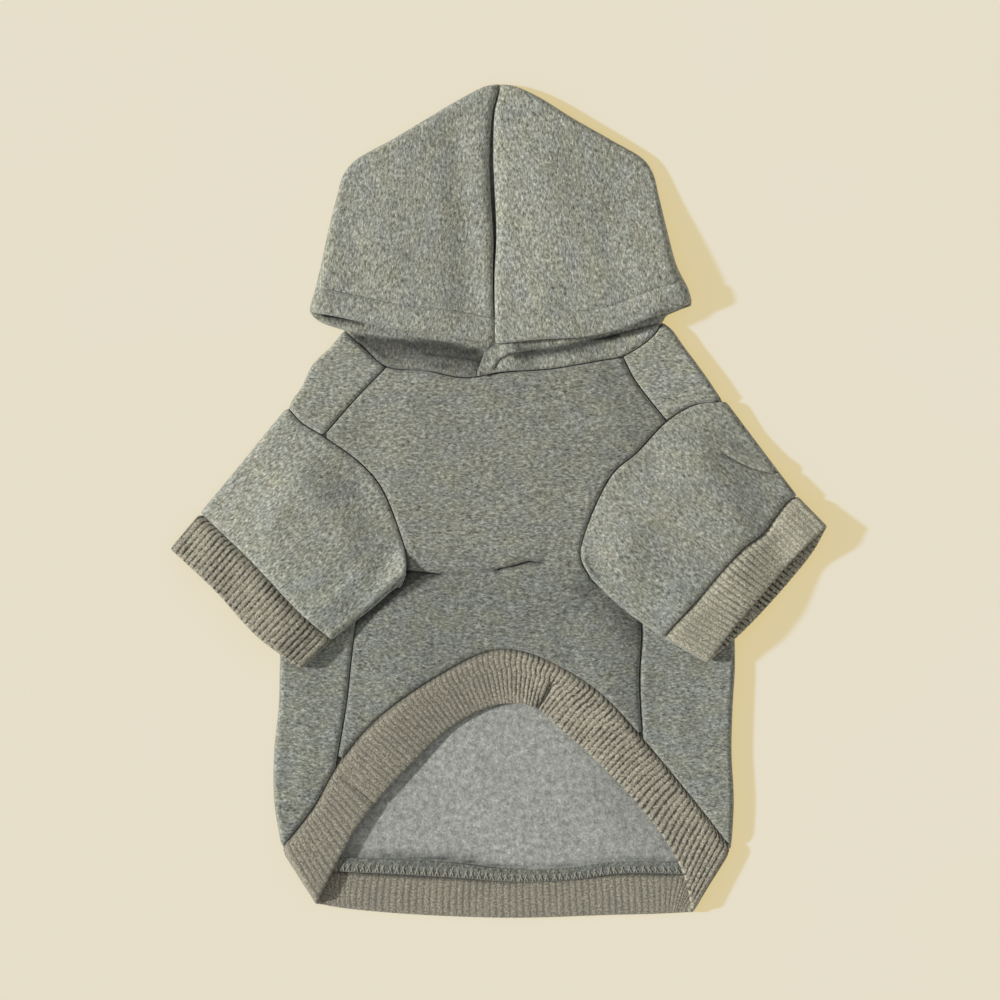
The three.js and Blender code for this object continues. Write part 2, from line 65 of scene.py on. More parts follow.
HOOD_LEVELS = table("y centre right_rise side_drop", [
    [64, 14.4, 0.6, 3.5],
    [84, 14.3, 0.8, 3.5],
    [103, 12.6, 0.8, 2.4],
    [120, 10.8, 0.6, 3.4],
    [133, 9.6, 0.4, 4.7],
    [146, 8.4, 0, 5.0],
    [159, 7.4, 0, 3.6],
    [178, 5, 0, 1.6],
    [182.4, 3.3, 0, 0],
])

# Folded sides, seams and free edges in plan, from the left to the right or from the top to the bottom.
EDGES = {
    "body_side_left": [
        (-67.8, 75), (-73.5, 68), (-81.5, 60), (-86.5, 50), (-92, 41), (-94.5, -17), (-96, -71),
        (-96.5, -90), (-98.5, -110), (-98.5, -132), (-95.2, -152.5),
    ],
    "body_side_right": [
        (72.4, 78.5), (76.5, 75), (81.5, 68), (87.5, 60), (94.5, 50), (99.4, 41), (102, -17), (104, -71),
        (103, -90), (102.5, -110), (103.5, -132), (102.4, -152.5),
    ],
    "hood_side_left": [
        (0.8, 183.3), (-5.5, 182.4), (-14.5, 178), (-31.5, 168), (-46.5, 159), (-62.5, 150), (-67.8, 144),
        (-71.2, 133), (-75, 117.5), (-78, 103), (-80.5, 93), (-83.5, 83),
    ],
    "hood_side_right": [
        (0.8, 183.3), (7, 182.4), (17, 178), (33.2, 168), (49, 159), (64, 150), (68, 144), (70.8, 133),
        (74.5, 117.5), (78.5, 103), (83.5, 93), (85.5, 86),
    ],
    "neck_side_left": [(-83.5, 83), (-78, 78.5), (-67.8, 75)],
    "neck_side_right": [(85.5, 86), (78.5, 83.4), (73.6, 81), (72.4, 78.5)],
    "neck_front": [
        (-67.8, 75), (-59, 67), (-49, 59), (-31, 57), (-14, 54), (1.5, 56.5), (22, 57.8), (44.5, 61.5),
        (54.5, 63.5), (67, 71.5), (72.4, 78.5),
    ],
    "neck_back": [(-67.8, 75), (-43.5, 79), (0, 80.5), (44.5, 80.3), (72.4, 78.5)],
    "raglan_left": [(-49, 59), (-63, 44.5), (-77, 28.5)],
    "raglan_right": [(54.5, 63.5), (60, 53), (74, 35)],
    "armhole_left": [
        (-92.6, 41), (-86.5, 34.5), (-77, 28.5), (-61, 17), (-52, 7), (-43.5, -13), (-40.5, -24),
        (-40.5, -32),
    ],
    "armhole_right": [
        (99.8, 43.5), (86, 42), (74, 35), (60.5, 21), (51, 13), (43.5, 0), (37.5, -16), (36.5, -24),
        (41, -33),
    ],
    "underarm_left": [
        (-92.6, 41), (-95, 12), (-90, -8), (-75, -25), (-58, -35), (-44, -37.5), (-40.5, -32),
    ],
    "underarm_right": [(99.8, 43.5), (102.5, 12), (97, -8), (80, -26), (61, -37), (47, -38), (41, -33)],
    "side_left": [(-58, -35), (-62.5, -54.5), (-65, -73.5), (-66.5, -87.5), (-71.5, -117.5)],
    "side_right": [(61, -37), (63, -54), (62, -77), (62.5, -92), (63.5, -104.5)],
    "arch": [
        (-95.2, -152.5), (-80.5, -133.5), (-71.5, -117.5), (-56.5, -99), (-40.5, -85.5), (-23.5, -75),
        (-9, -67.5), (2.5, -65), (14, -67), (26.5, -72.5), (45, -84.5), (63.5, -104.5), (85.5, -131),
        (102.4, -152.5),
    ],
    "arch_hem": [
        (-80, -177), (-68, -153.5), (-59, -139), (-37.5, -115), (-23.5, -101.5), (-9, -92.5), (4, -89),
        (16.5, -91), (28, -100.5), (45, -116), (62.5, -134.5), (75.5, -152), (82.5, -167), (85, -181),
    ],
    "back_seam": [
        (-95.2, -152.5), (-82, -160.5), (-68, -163), (-17, -166), (9.5, -167), (55, -164), (84.5, -163),
        (102.4, -152.5),
    ],
    "back_hem": [(-80, -177), (-66, -179), (-37.5, -181.5), (5, -183), (53.5, -181.7), (85, -181)],
    "lip": [
        (-83.5, 83), (-70, 80.5), (-43.5, 75), (-19.5, 72), (-1.5, 69), (16.5, 70.5), (39.5, 72),
        (53.5, 75), (69, 81), (85.5, 86),
    ],
    "hood_centre": [(0.8, 183), (-0.5, 177), (-2, 171), (-3, 149.5), (-1.5, 115), (-2, 99), (-1.5, 69)],
    "hood_centre_back": [(0.8, 183), (0.3, 130), (0, 80.5)],
    "collar_left": [(-82.5, 82), (-68, 80), (-31, 75.5), (-4, 72)],
    "collar_right": [(-3.5, 73), (18.5, 75), (40, 77), (62.5, 82), (84.5, 85)],
}


# ---------------------------------------------------------------- curves in plan


class Path:
    """A curve in plan through a few points, with places on it given as shares of its length."""

    def __init__(self, points, smooth=True, samples=24):
        points = np.asarray(points, float)
        self.points = catmull_rom(points, samples) if smooth and len(points) > 2 else points
        steps = np.linalg.norm(np.diff(self.points, axis=0), axis=1)
        self.run = np.concatenate([[0], np.cumsum(steps)])
        self.length = self.run[-1]

    def at(self, shares):
        distance = np.clip(shares, 0, 1) * self.length
        return np.stack([np.interp(distance, self.run, self.points[:, k]) for k in (0, 1)], axis=-1)

    def spaced(self, step):
        count = max(2, int(round(self.length / step)) + 1)
        return self.at(np.linspace(0, 1, count))


def hermite(a, b, slope_a, slope_b, t):
    """A cubic from a to b that leaves a and reaches b with the slopes given."""
    return (
        (2 * t**3 - 3 * t**2 + 1) * a + (t**3 - 2 * t**2 + t) * slope_a
        + (3 * t**2 - 2 * t**3) * b + (t**3 - t**2) * slope_b
    )


def catmull_rom(points, samples):
    """A centripetal Catmull-Rom curve through the points."""
    ends = 2 * points[0] - points[1], 2 * points[-1] - points[-2]
    p = np.vstack([ends[0], points, ends[1]])
    made = []
    t = np.linspace(0, 1, samples, endpoint=False)[:, None]
    for a, b, c, d in zip(p, p[1:], p[2:], p[3:]):
        ab, bc, cd = (np.linalg.norm(v) ** 0.5 for v in (b - a, c - b, d - c))
        start = bc * ((b - a) / ab - (c - a) / (ab + bc) + (c - b) / bc)
        stop = bc * ((c - b) / bc - (d - b) / (bc + cd) + (d - c) / cd)
        made.append(hermite(b, c, start, stop, t))
    return np.vstack([*made, points[-1:]])


def between(a, b, share, bow=0.0, samples=160):
    """The path that lies between two others, bowed out along the diagonal towards its end."""
    shares = np.linspace(0, 1, samples)
    points = a.at(shares) * (1 - share) + b.at(shares) * share
    return Path(points + bow * shares[:, None] ** 2, smooth=False)


def profile(rows, name, samples=16):
    """A function of y that runs smoothly through one column of a table."""
    y, value = rows["y"], rows[name]
    slope = np.gradient(value, y, edge_order=1)
    slope[1:-1] = (value[2:] - value[:-2]) / (y[2:] - y[:-2])
    t = np.linspace(0, 1, samples, endpoint=False)[None, :]
    step = np.diff(y)[:, None]
    dense = hermite(value[:-1, None], value[1:, None], slope[:-1, None] * step, slope[1:, None] * step, t)
    places = (y[:-1, None] + t * step).ravel()
    return lambda at: np.interp(at, np.append(places, y[-1]), np.append(dense.ravel(), value[-1]))


def smooth(t):
    t = np.clip(t, 0, 1)
    return t * t * (3 - 2 * t)


def lerp(a, b, t):
    return a + (b - a) * t


def bell(distance, width):
    """1 at no distance, and falling away softly over a width."""
    return np.exp(-((distance / width) ** 2))


HOOD_LEVEL = {name: profile(HOOD_LEVELS, name) for name in ("centre", "right_rise", "side_drop")}


def across_at(name):
    """The x of a side at a given y."""
    points = Path(EDGES[name]).points[::-1]
    return lambda y: np.interp(y, points[:, 1], points[:, 0])


body_left, body_right = across_at("body_side_left"), across_at("body_side_right")


# ---------------------------------------------------------------- levels of the cloth's middle

CHEST_FOLD = {"y": -26.5, "left": -44, "right": 46, "height": 1.6, "width": 3.2, "drop": 8, "dip": 0.5}
PRESSED_FROM, PRESSED_OVER = 30, 26
HOOD_HALF_WIDTH, HOOD_FLAT = 80, 0.15  # HOOD_FLAT is the share of it, by the centre seam, that lies flat


def chest_fold(x, y):
    f = CHEST_FOLD
    across = np.clip((x - f["left"]) / (f["right"] - f["left"]), 0, 1)
    tall = f["height"] * (1 - 0.5 * across) * np.sin(np.pi * across) ** 0.5
    return tall * (bell(y - f["y"], f["width"]) - f["dip"] * bell(y - f["y"] + f["drop"], f["width"]))


def body_level(x, y):
    """The middle of the body's top layer."""
    inwards = np.minimum(x - body_left(y), body_right(y) - x)
    return lerp(LEVEL_SIDE, LEVEL_BELLY, smooth((inwards - PRESSED_FROM) / PRESSED_OVER)) + chest_fold(x, y)


def hood_level(x, y):
    """The middle of the hood's top layer, which slopes down from the centre seam to the folded sides."""
    outwards = np.abs(x) / HOOD_HALF_WIDTH
    right = HOOD_LEVEL["right_rise"](y) * smooth(x / HOOD_HALF_WIDTH)
    drop = HOOD_LEVEL["side_drop"](y) * smooth((outwards - HOOD_FLAT) / (1 - HOOD_FLAT))
    return HOOD_LEVEL["centre"](y) + right - drop


# ---------------------------------------------------------------- distances in plan


def distance_to(points, line):
    """How far each point is from a polyline."""
    best = np.full(len(points), np.inf)
    for a, b in zip(line[:-1], line[1:]):
        d = b - a
        t = np.clip((points - a) @ d / max(d @ d, 1e-12), 0, 1)
        np.minimum(best, np.hypot(*(points - a - t[:, None] * d).T), out=best)
    return best


def from_line(points, line):
    """How far each point is, in plan, from a smooth curve through a few points."""
    return distance_to(points[:, :2], Path(line).points[::4])


def inside(points, outline):
    """Whether each point is within a closed outline."""
    crossings = np.zeros(len(points), int)
    x, y = points.T
    for (ax, ay), (bx, by) in zip(outline, np.roll(outline, -1, axis=0)):
        spans = (ay > y) != (by > y)
        crossings += spans & (x < ax + (y - ay) * (bx - ax) / (by - ay if by != ay else 1))
    return crossings % 2 == 1


def to_left(v):
    return np.stack([-v[:, 1], v[:, 0]], 1) / np.maximum(np.linalg.norm(v, axis=1), 1e-9)[:, None]


def inset(outline, distance):
    """A closed outline moved inwards, with its corners mitred."""
    n = to_left(outline - np.roll(outline, 1, axis=0))
    m = to_left(np.roll(outline, -1, axis=0) - outline)
    reach = distance / np.maximum(1 + (n * m).sum(1), 0.5)
    return outline + (n + m) * reach[:, None]


def beside(line, distance):
    """An open line moved to its left, or to its right if the distance is negative."""
    return line + to_left(np.gradient(line, axis=0)) * distance


EDGE_STEP = 1.2  # between the points of an outline


def stretch(name, first=0, last=None):
    """Points along a named edge, from one of its given points to another, in that order."""
    samples = 24
    path = Path(EDGES[name], samples=samples)
    last = len(EDGES[name]) - 1 if last is None else last
    low, high = sorted((first, last))
    points = Path(path.points[low * samples : high * samples + 1], smooth=False).spaced(EDGE_STEP)
    return points if first < last else points[::-1]


class Outline:
    """A closed outline of the middle of a sheet, from lines given as (kind, points) that meet end to end.

    A fold keeps its place. A seam or hem is moved in, so that the sheet's own edge comes to the line."""

    INSETS = {"fold": 0.0, "seam": CLOTH / 2 + SEAM_GAP / 2, "hem": CLOTH / 2}
    CLOSE = {"seam": CLOTH / 2 + 0.04}  # a seam that the surface below mustn't show through
    CLEAR_SHARE = 0.97  # of its inset, that a point keeps from the lines at corners
    LEAST_STEP = 0.25 * EDGE_STEP

    def __init__(self, *lines, insets=None):
        insets = {**self.INSETS, **(insets or {})}
        points = np.vstack([line[:-1] for _, line in lines])
        kinds = np.concatenate([[kind] * (len(line) - 1) for kind, line in lines])
        x, y = points.T
        if (x * np.roll(y, -1) - y * np.roll(x, -1)).sum() < 0:
            points, kinds = points[::-1], kinds[::-1]
        reach = np.array([insets[kind] for kind in kinds])
        moved = inset(points, reach)
        clear = distance_to(moved, np.vstack([points, points[:1]])) > self.CLEAR_SHARE * reach - 1e-6
        apart = np.linalg.norm(moved - np.roll(moved, 1, axis=0), axis=1) > self.LEAST_STEP
        kept = (clear & apart & inside(moved, points)) | (kinds == "fold")
        self.points, self.kinds = moved[kept], kinds[kept]

    def distance(self, points, kind):
        """How far each point is from the outline's lines of one kind."""
        best = np.full(len(points), np.inf)
        here, following = self.points, np.roll(self.points, -1, axis=0)
        for a, b, k, n in zip(here, following, self.kinds, np.roll(self.kinds, -1)):
            if k == kind and n == kind:
                best = np.minimum(best, distance_to(points, np.array([a, b])))
        return best


# ---------------------------------------------------------------- sheets of cloth

RINGS = (0.15, 0.45, 0.9, 1.5, 2.3, 3.3)  # distances in from an outline, so that its edge can be rounded
RIM_ANGLES = (55, 20, -20, -55)  # round a cut edge, from its outer face to its inner one
RING_SHARE = 0.93  # of its distance, that a ring keeps from the outline at corners
ROW_SHARE, RIM_SHARE = 0.866, 0.55  # of the spacing: from row to row, and from the last ring to the rows
FINE_OFFSETS = (-2.0, -1.2, -0.6, 0.0, 0.6, 1.2, 2.0)  # rows of points beside a narrow crease
FINE_STEP, FINE_CLEAR, FINE_END = 0.9, 2.6, 1.2
RING_CUT, RING_CLEAR = 1, 2.3  # rings further in than RING_CUT are cut where they cross a fine line


def plan_mesh(outline, spacing, fine=()):
    """Points and triangles that fill an outline in plan, closer together near its edge and by fine lines."""
    whole = np.vstack([outline, outline[:1]])
    made = [outline]
    crowded = []
    for line in fine:
        spaced = Path(line).spaced(FINE_STEP)
        rows = np.vstack([beside(spaced, offset) for offset in FINE_OFFSETS])
        rows = rows[inside(rows, outline)]
        rows = rows[distance_to(rows, whole) > FINE_END]
        for other in crowded:
            rows = rows[distance_to(rows, other) > FINE_CLEAR]
        made.append(rows)
        crowded.append(spaced)
    for distance in RINGS:
        ring = inset(outline, distance)
        ring = ring[inside(ring, outline)]
        ring = ring[distance_to(ring, whole) > RING_SHARE * distance]
        if distance > RING_CUT:
            for line in crowded:
                ring = ring[distance_to(ring, line) > RING_CLEAR]
        made.append(ring)
    low, high = outline.min(0), outline.max(0)
    lattice = np.array([
        (x, y)
        for k, y in enumerate(np.arange(low[1], high[1], spacing * ROW_SHARE))
        for x in np.arange(low[0] + spacing * 0.5 * (k % 2), high[0], spacing)
    ])
    lattice = lattice[inside(lattice, outline)]
    lattice = lattice[distance_to(lattice, whole) > RINGS[-1] + RIM_SHARE * spacing]
    for line in crowded:
        lattice = lattice[distance_to(lattice, line) > FINE_CLEAR]
    made.append(lattice)
    points = np.vstack(made)
    found = geometry.delaunay_2d_cdt([Vector(p) for p in points], [], [list(range(len(outline)))], 1, 1e-6)
    return np.array([v[:] for v in found[0]]), np.array(found[2])


WELD = 0.01  # points of open edges that are closer than this are one point


def open_edges(faces):
    """Each open edge of a mesh, as its first point's number with its second's."""
    half_edges = {(a, b) for face in faces for a, b in zip(face, face[1:] + face[:1])}
    return {a: b for a, b in half_edges if (b, a) not in half_edges}


def weld(layers):
    """One mesh from layers given as (points, faces), joined where their open edges meet."""
    points = np.vstack([p for p, _ in layers])
    starts = np.cumsum([0] + [len(p) for p, _ in layers[:-1]])
    faces = [[int(start + k) for k in face] for start, (_, f) in zip(starts, layers) for face in f]
    rim = np.array(sorted(open_edges(faces)))
    gaps = np.linalg.norm(points[rim][:, None] - points[rim][None], axis=2)
    target = np.arange(len(points))
    target[rim] = rim[np.argmax(gaps < WELD, axis=1)]
    used = np.unique(target)
    place = np.zeros(len(points), int)
    place[used] = np.arange(len(used))
    return points[used], [[int(place[target[k]]) for k in face] for face in faces]


def corner_triangles(faces):
    return np.array([(face[0], face[k], face[k + 1]) for face in faces for k in range(1, len(face) - 1)])


def normals_of(points, faces):
    triangles = corner_triangles(faces)
    a, b, c = (points[triangles[:, k]] for k in range(3))
    across = np.cross(b - a, c - a)
    total = np.zeros_like(points)
    for k in range(3):
        np.add.at(total, triangles[:, k], across)
    return total / np.maximum(np.linalg.norm(total, axis=1), 1e-12)[:, None]


def rims(faces):
    """The loops of points round the open edges of a mesh."""
    follows = open_edges(faces)
    loops = []
    while follows:
        start = next(iter(follows))
        loop = [start]
        step = follows.pop(start)
        while step != start:
            loop.append(step)
            step = follows.pop(step)
        loops.append(loop)
    return loops


def shell(points, faces, half, fields=None):
    """A closed wall of cloth about a surface, "half" thick on either side, with rounded edges.

    Returns its points, its faces, and its fields: each field has one row for each point of the surface. The
    field "inner" is 0 on the outer face and 1 on the inner one."""
    faces = [list(map(int, face)) for face in faces]
    half = np.broadcast_to(half, len(points))[:, None]
    normals = normals_of(points, faces)
    count = len(points)
    all_points = [points + normals * half, points - normals * half]
    all_faces = faces + [[count + k for k in reversed(face)] for face in faces]
    source = [np.arange(count), np.arange(count)]
    inner = [np.zeros(count), np.ones(count)]
    total = 2 * count
    for loop in rims(faces):
        loop = np.array(loop)
        along = np.roll(points[loop], -1, axis=0) - np.roll(points[loop], 1, axis=0)
        out = np.cross(along, normals[loop])
        out /= np.maximum(np.linalg.norm(out, axis=1), 1e-12)[:, None]
        rows = [loop]
        for angle in np.radians(RIM_ANGLES):
            reach = out * math.cos(angle) + normals[loop] * math.sin(angle)
            all_points.append(points[loop] + reach * half[loop])
            source.append(loop)
            inner.append(np.full(len(loop), 0.5 - 0.5 * math.sin(angle)))
            rows.append(np.arange(total, total + len(loop)))
            total += len(loop)
        rows.append(loop + count)
        for upper, lower in zip(rows, rows[1:]):
            for a, b, c, d in zip(upper, np.roll(upper, -1), np.roll(lower, -1), lower):
                all_faces.append([int(a), int(d), int(c), int(b)])
    source = np.concatenate(source)
    found = {name: np.asarray(values)[source] for name, values in (fields or {}).items()}
    found["inner"] = np.concatenate(inner)
    return np.vstack(all_points), all_faces, found


def grid_faces(count, around, ring):
    """Quads between the rows of a grid, whose rows close on themselves if it is a ring."""
    quads = []
    for row in range(count - 1):
        for k in range(around if ring else around - 1):
            here, following = row * around + k, row * around + (k + 1) % around
            quads.append([here, following, following + around, here + around])
    return quads


def add_object(name, data):
    made = bpy.data.objects.new(name, data)
    bpy.context.scene.collection.objects.link(made)
    return made


def piece(name, points, faces, fields, material):
    """A Blender object from a mesh in millimetres, with its fields as attributes."""
    mesh = bpy.data.meshes.new(name)
    mesh.from_pydata((points * MM).tolist(), [], faces)
    mesh.polygons.foreach_set("use_smooth", [True] * len(mesh.polygons))
    for field, values in fields.items():
        values = np.asarray(values, np.float32)
        if values.ndim == 1:
            mesh.attributes.new(field, "FLOAT", "POINT").data.foreach_set("value", values)
        else:
            filled = np.column_stack([values, np.zeros(len(values), np.float32)])
            mesh.attributes.new(field, "FLOAT_VECTOR", "POINT").data.foreach_set("vector", filled.ravel())
    mesh.update()
    mesh.materials.append(material)
    made = add_object(name, mesh)
    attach(made, "root")
    return made


# ---------------------------------------------------------------- creases

# Lines in plan that both a crease and its shade follow.
CHEST_MIDDLE = [(-25, -32.2), (-12, -31.4), (0, -30)]
COLLAR_LAP = [(-1.2, 58.6), (1.2, 62), (10, 65.2), (27, 67.6), (40, 70.6), (56, 74.4), (69, 77.6)]
COLLAR_SLIT = [(-31, 64), (-20.8, 63.2), (-12.9, 62.2), (-7.6, 61)]
TUCK_LINE = [(23.6, -80), (21.5, -85.5), (17.5, -91)]
JOIN_LINE = [(-68.6, -121), (-61, -127.5), (-53, -133.8)]

# Soft troughs (negative) and ridges that the cloth has been left with: height, width and line in plan.
CREASES = {
    "body": [
        (-2.2, 0.95, [(-39, -30.7), (-33, -31.3), (-25.5, -32.1)]),
        (-0.8, 1.5, CHEST_MIDDLE),
        (-2.2, 0.95, [(0, -29.9), (8.4, -28.1), (13.4, -26.6), (18.3, -26.9)]),
        (1.0, 2.4, [(3, -25.8), (10, -23.6), (17, -23.4)]),
        (-2.0, 6.5, [(44, -40), (58, -51), (64, -57)]),
        (0.5, 7.0, [(-30, 30), (-5, 20), (25, 24)]),
        (-0.5, 8.0, [(-35, 8), (0, 2), (30, 5)]),
        (-0.6, 5.0, [(38, -42), (30, -60), (36, -78)]),
        (0.5, 6.0, [(-88, -70), (-84, -100), (-86, -128)]),
        (-0.5, 5.0, [(92, -60), (88, -85), (92, -110)]),
        (0.4, 7.0, [(-50, -60), (-20, -56), (10, -50)]),
    ],
    "hood": [
        (-1.9, 8.0, [(-19, 160), (-15, 125), (-13, 86)]),
        (0.6, 9.0, [(-45, 150), (-50, 120), (-45, 90)]),
        (-0.7, 7.0, [(52, 140), (48, 112), (56, 92)]),
        (0.7, 9.0, [(20, 150), (24, 120), (20, 90)]),
        (-0.5, 5.0, [(-66, 120), (-62, 104), (-66, 92)]),
    ],
    "collar": [
        (-1.6, 0.95, COLLAR_LAP),
        (0.9, 2.0, [(3, 66.2), (20, 69.4), (38, 73), (56, 77.2)]),
        (-1.3, 1.2, COLLAR_SLIT),
        (-0.9, 1.6, [(-60, 69.5), (-46, 66.5), (-32, 66)]),
        (0.9, 2.0, [(-52, 63), (-38, 61.5), (-24, 60)]),
    ],
    "sleeve_left": [
        (0.5, 7.0, [(-56, 15), (-68, 9), (-81, 3)]),
        (-0.35, 5.0, [(-62, 3), (-76, -6), (-92, -12)]),
        (-0.6, 4.0, [(-58, -22), (-70, -34), (-84, -44)]),
        (0.6, 6.0, [(-96, 22), (-106, 8), (-116, -4)]),
    ],
    "sleeve_right": [
        (-1.8, 0.95, [(99, 20.4), (104, 17.6), (109.4, 15), (116, 13), (121.5, 11.6)]),
        (1.1, 2.6, [(101, 22.6), (108, 19), (118, 15.6)]),
        (-0.6, 6.0, [(60, -2), (78, -14), (94, -24)]),
        (0.6, 6.0, [(56, -22), (72, -34), (84, -46)]),
    ],
    "back": [
        (0.5, 6.0, [(-60, 50), (-20, 42), (30, 48)]),
        (0.6, 5.0, [(-70, -20), (-30, -34), (20, -30)]),
        (0.5, 7.0, [(-40, -90), (10, -104), (60, -96)]),
        (0.4, 5.0, [(-60, -130), (-10, -138), (50, -132)]),
    ],
    "hood_back": [
        (0.5, 8.0, [(-50, 140), (-42, 112), (-50, 92)]),
        (0.5, 7.0, [(48, 140), (42, 116), (50, 94)]),
    ],
}
# Where the real cloth lies deeper than in this stack of thin layers, and so is in more shadow: how much
# darker it is there, how far that reaches, and along what line.
SHADES = {
    "belly": [
        (0.6, 0.8, [(-40.2, -30.7), (-33, -31.4), (-25, -32.2)]),
        (0.25, 1.0, CHEST_MIDDLE),
        (0.75, 0.85, [(0.5, -29.8), (8.4, -28.1), (13.4, -26.6), (18.3, -26.7)]),
        (0.6, 1.2, [(6, -28.9), (10, -27.7), (14.5, -26.8)]),
        (0.34, 5.0, [(44, -38), (57, -49), (66, -57)]),
        (0.16, 5.0, [(22, -30), (40, -33)]),
    ],
    "collar": [
        (0.42, 3.0, [(-40, 69), (-24, 67), (-12, 65)]),
        (0.7, 1.0, COLLAR_SLIT),
        (0.75, 0.9, COLLAR_LAP),
        (0.8, 1.9, [(8, 63.4), (18, 65.0), (30, 66.6), (42, 69.6), (52, 72.2)]),
        (0.6, 0.8, [(-80, 81.2), (-70, 79.4), (-60, 77.6)]),
        (0.4, 0.8, [(-59, 77.4), (-54, 76.5)]),
        (0.2, 0.8, [(-53, 76.3), (-47, 75.2)]),
        (0.7, 0.9, [(-9.8, 56.8), (-8.4, 60.6), (-5, 66), (-2, 69.5)]),
    ],
    "band": [
        (0.65, 0.8, TUCK_LINE),
        (0.35, 2.2, [(22.4, -81), (20.3, -86), (17, -90)]),
        (0.6, 1.4, [(19.8, -87.5), (17.8, -91)]),
        (0.55, 0.6, JOIN_LINE),
    ],
    "cuff_left": [],
    "cuff_right": [(0.2, 9.0, [(80, -52), (88, -57), (97, -64)])],
    "inside": [
        (0.6, 0.8, [(-52, -156.2), (-23.5, -157.5), (-1.9, -160), (12, -161)]),
        (0.3, 0.8, [(12, -161), (33.7, -159.8), (48.3, -157.6), (76, -157.8)]),
        (0.3, 2.6, [(-64, -155), (-40, -155.5), (-10, -157.5)]),
        (0.14, 9.0, [(40, -122), (56, -138), (70, -154)]),
    ],
}
# Slow waves in the cloth: height, turn for each millimetre across and along, and start.
SWELL = ((0.20, 0.061, 0.038, 0.4), (0.16, -0.044, 0.083, 1.9), (0.10, 0.127, 0.104, 3.1))


def fine_lines(name):
    """The creases that are too narrow for a sheet's usual spacing."""
    return [line for _, width, line in CREASES[name] if width < SPACING]


def shade(name, points):
    """How much darker each point is for lying deep, from 0 to 1."""
    light = np.ones(len(points))
    for amount, width, line in SHADES[name]:
        light *= 1 - amount * bell(from_line(points, line), width)
    return 1 - light


SLIT_WIDTH = 1  # a trough narrower than this is a slit
PINCH = 0.8  # share of the cloth's thickness that a slit swallows


def pinched(name, points, lowest=(LEVEL_BACK + LEVEL_SIDE) / 2):
    """Half the cloth's thickness, less along the slits in its top layer."""
    half = np.full(len(points), CLOTH / 2)
    top = points[:, 2] > lowest
    for height, width, line in CREASES[name]:
        if width < SLIT_WIDTH and height < 0:
            half -= top * PINCH * CLOTH / 2 * bell(from_line(points, line), width)
    return half


def relief(name, x, y):
    """How far a surface is raised by its creases and by a slow swell."""
    points = np.column_stack([x, y])
    total = sum(height * np.sin(u * x + v * y + start) for height, u, v, start in SWELL)
    for height, width, line in CREASES[name]:
        total += height * bell(from_line(points, line), width)
    return total


# ---------------------------------------------------------------- body

SPACING = 1.7  # between the points of a sheet, away from its edges
SEAM_ROLL, SEAM_SINK = 1.6, 0.9  # how far in from a seam the cloth turns down, and how deep
UNDER_SHARE = 0.4  # how far a hidden lower layer comes up to a seam, as a share of that
FOLD_REACH = 0.6  # a fold's depth in plan, as a share of its half height
FOLD_TOPS, FOLD_BOTTOM = {"left": 74, "right": 77}, -151  # the y where the body's folded sides end


def rounded(distance, radius):
    """0 at an edge and 1 past its radius, along a quarter circle."""
    return np.sqrt(1 - (1 - np.clip((distance - WELD / 2) / radius, 0, 1)) ** 2)


def folded(distance, half_height):
    """0 at a folded edge and 1 past it, along a quarter ellipse."""
    return rounded(distance, FOLD_REACH * half_height)


def sink(distance, roll=SEAM_ROLL, depth=SEAM_SINK):
    """How far the cloth goes down into a seam."""
    return depth * (1 - rounded(distance, roll))


BODY_FOLDS = {
    "left": beside(stretch("body_side_left"), CLOTH / 2),
    "right": beside(stretch("body_side_right"), -CLOTH / 2),
}
SIDE_AT = {"left": body_left, "right": body_right}
INWARDS = {"left": 1, "right": -1}


def body_layer(outline, top):
    """A layer of the body over an outline, rounded at the folded sides and sunk at the seams."""
    points, faces = plan_mesh(outline.points, SPACING, fine_lines("body") if top else ())
    x, y = points.T
    high = body_level(x, y)
    middle = (high + LEVEL_BACK) / 2
    from_fold = np.minimum(*(distance_to(points, fold) for fold in BODY_FOLDS.values()))
    turn = folded(from_fold, (high - LEVEL_BACK) / 2)
    dip = sink(outline.distance(points, "seam")) * turn
    if top:
        z = middle + (high + relief("body", x, y) - middle) * turn - dip
    else:
        z = middle - (middle - LEVEL_BACK - np.maximum(relief("back", x, y), 0)) * turn + UNDER_SHARE * dip
    return np.column_stack([points, z]), faces if top else faces[:, ::-1]


def within(line, side, margin=CLOTH / 2 + 0.6):
    """The part of a line that is inside one folded side of the body."""
    beyond = (line[:, 0] - SIDE_AT[side](line[:, 1])) * INWARDS[side]
    return line[beyond > margin]


def fold_between(side, high, low=FOLD_BOTTOM):
    """The part of a folded side of the body between two values of y, downwards."""
    line = BODY_FOLDS[side]
    return line[(line[:, 1] < high) & (line[:, 1] > low)]


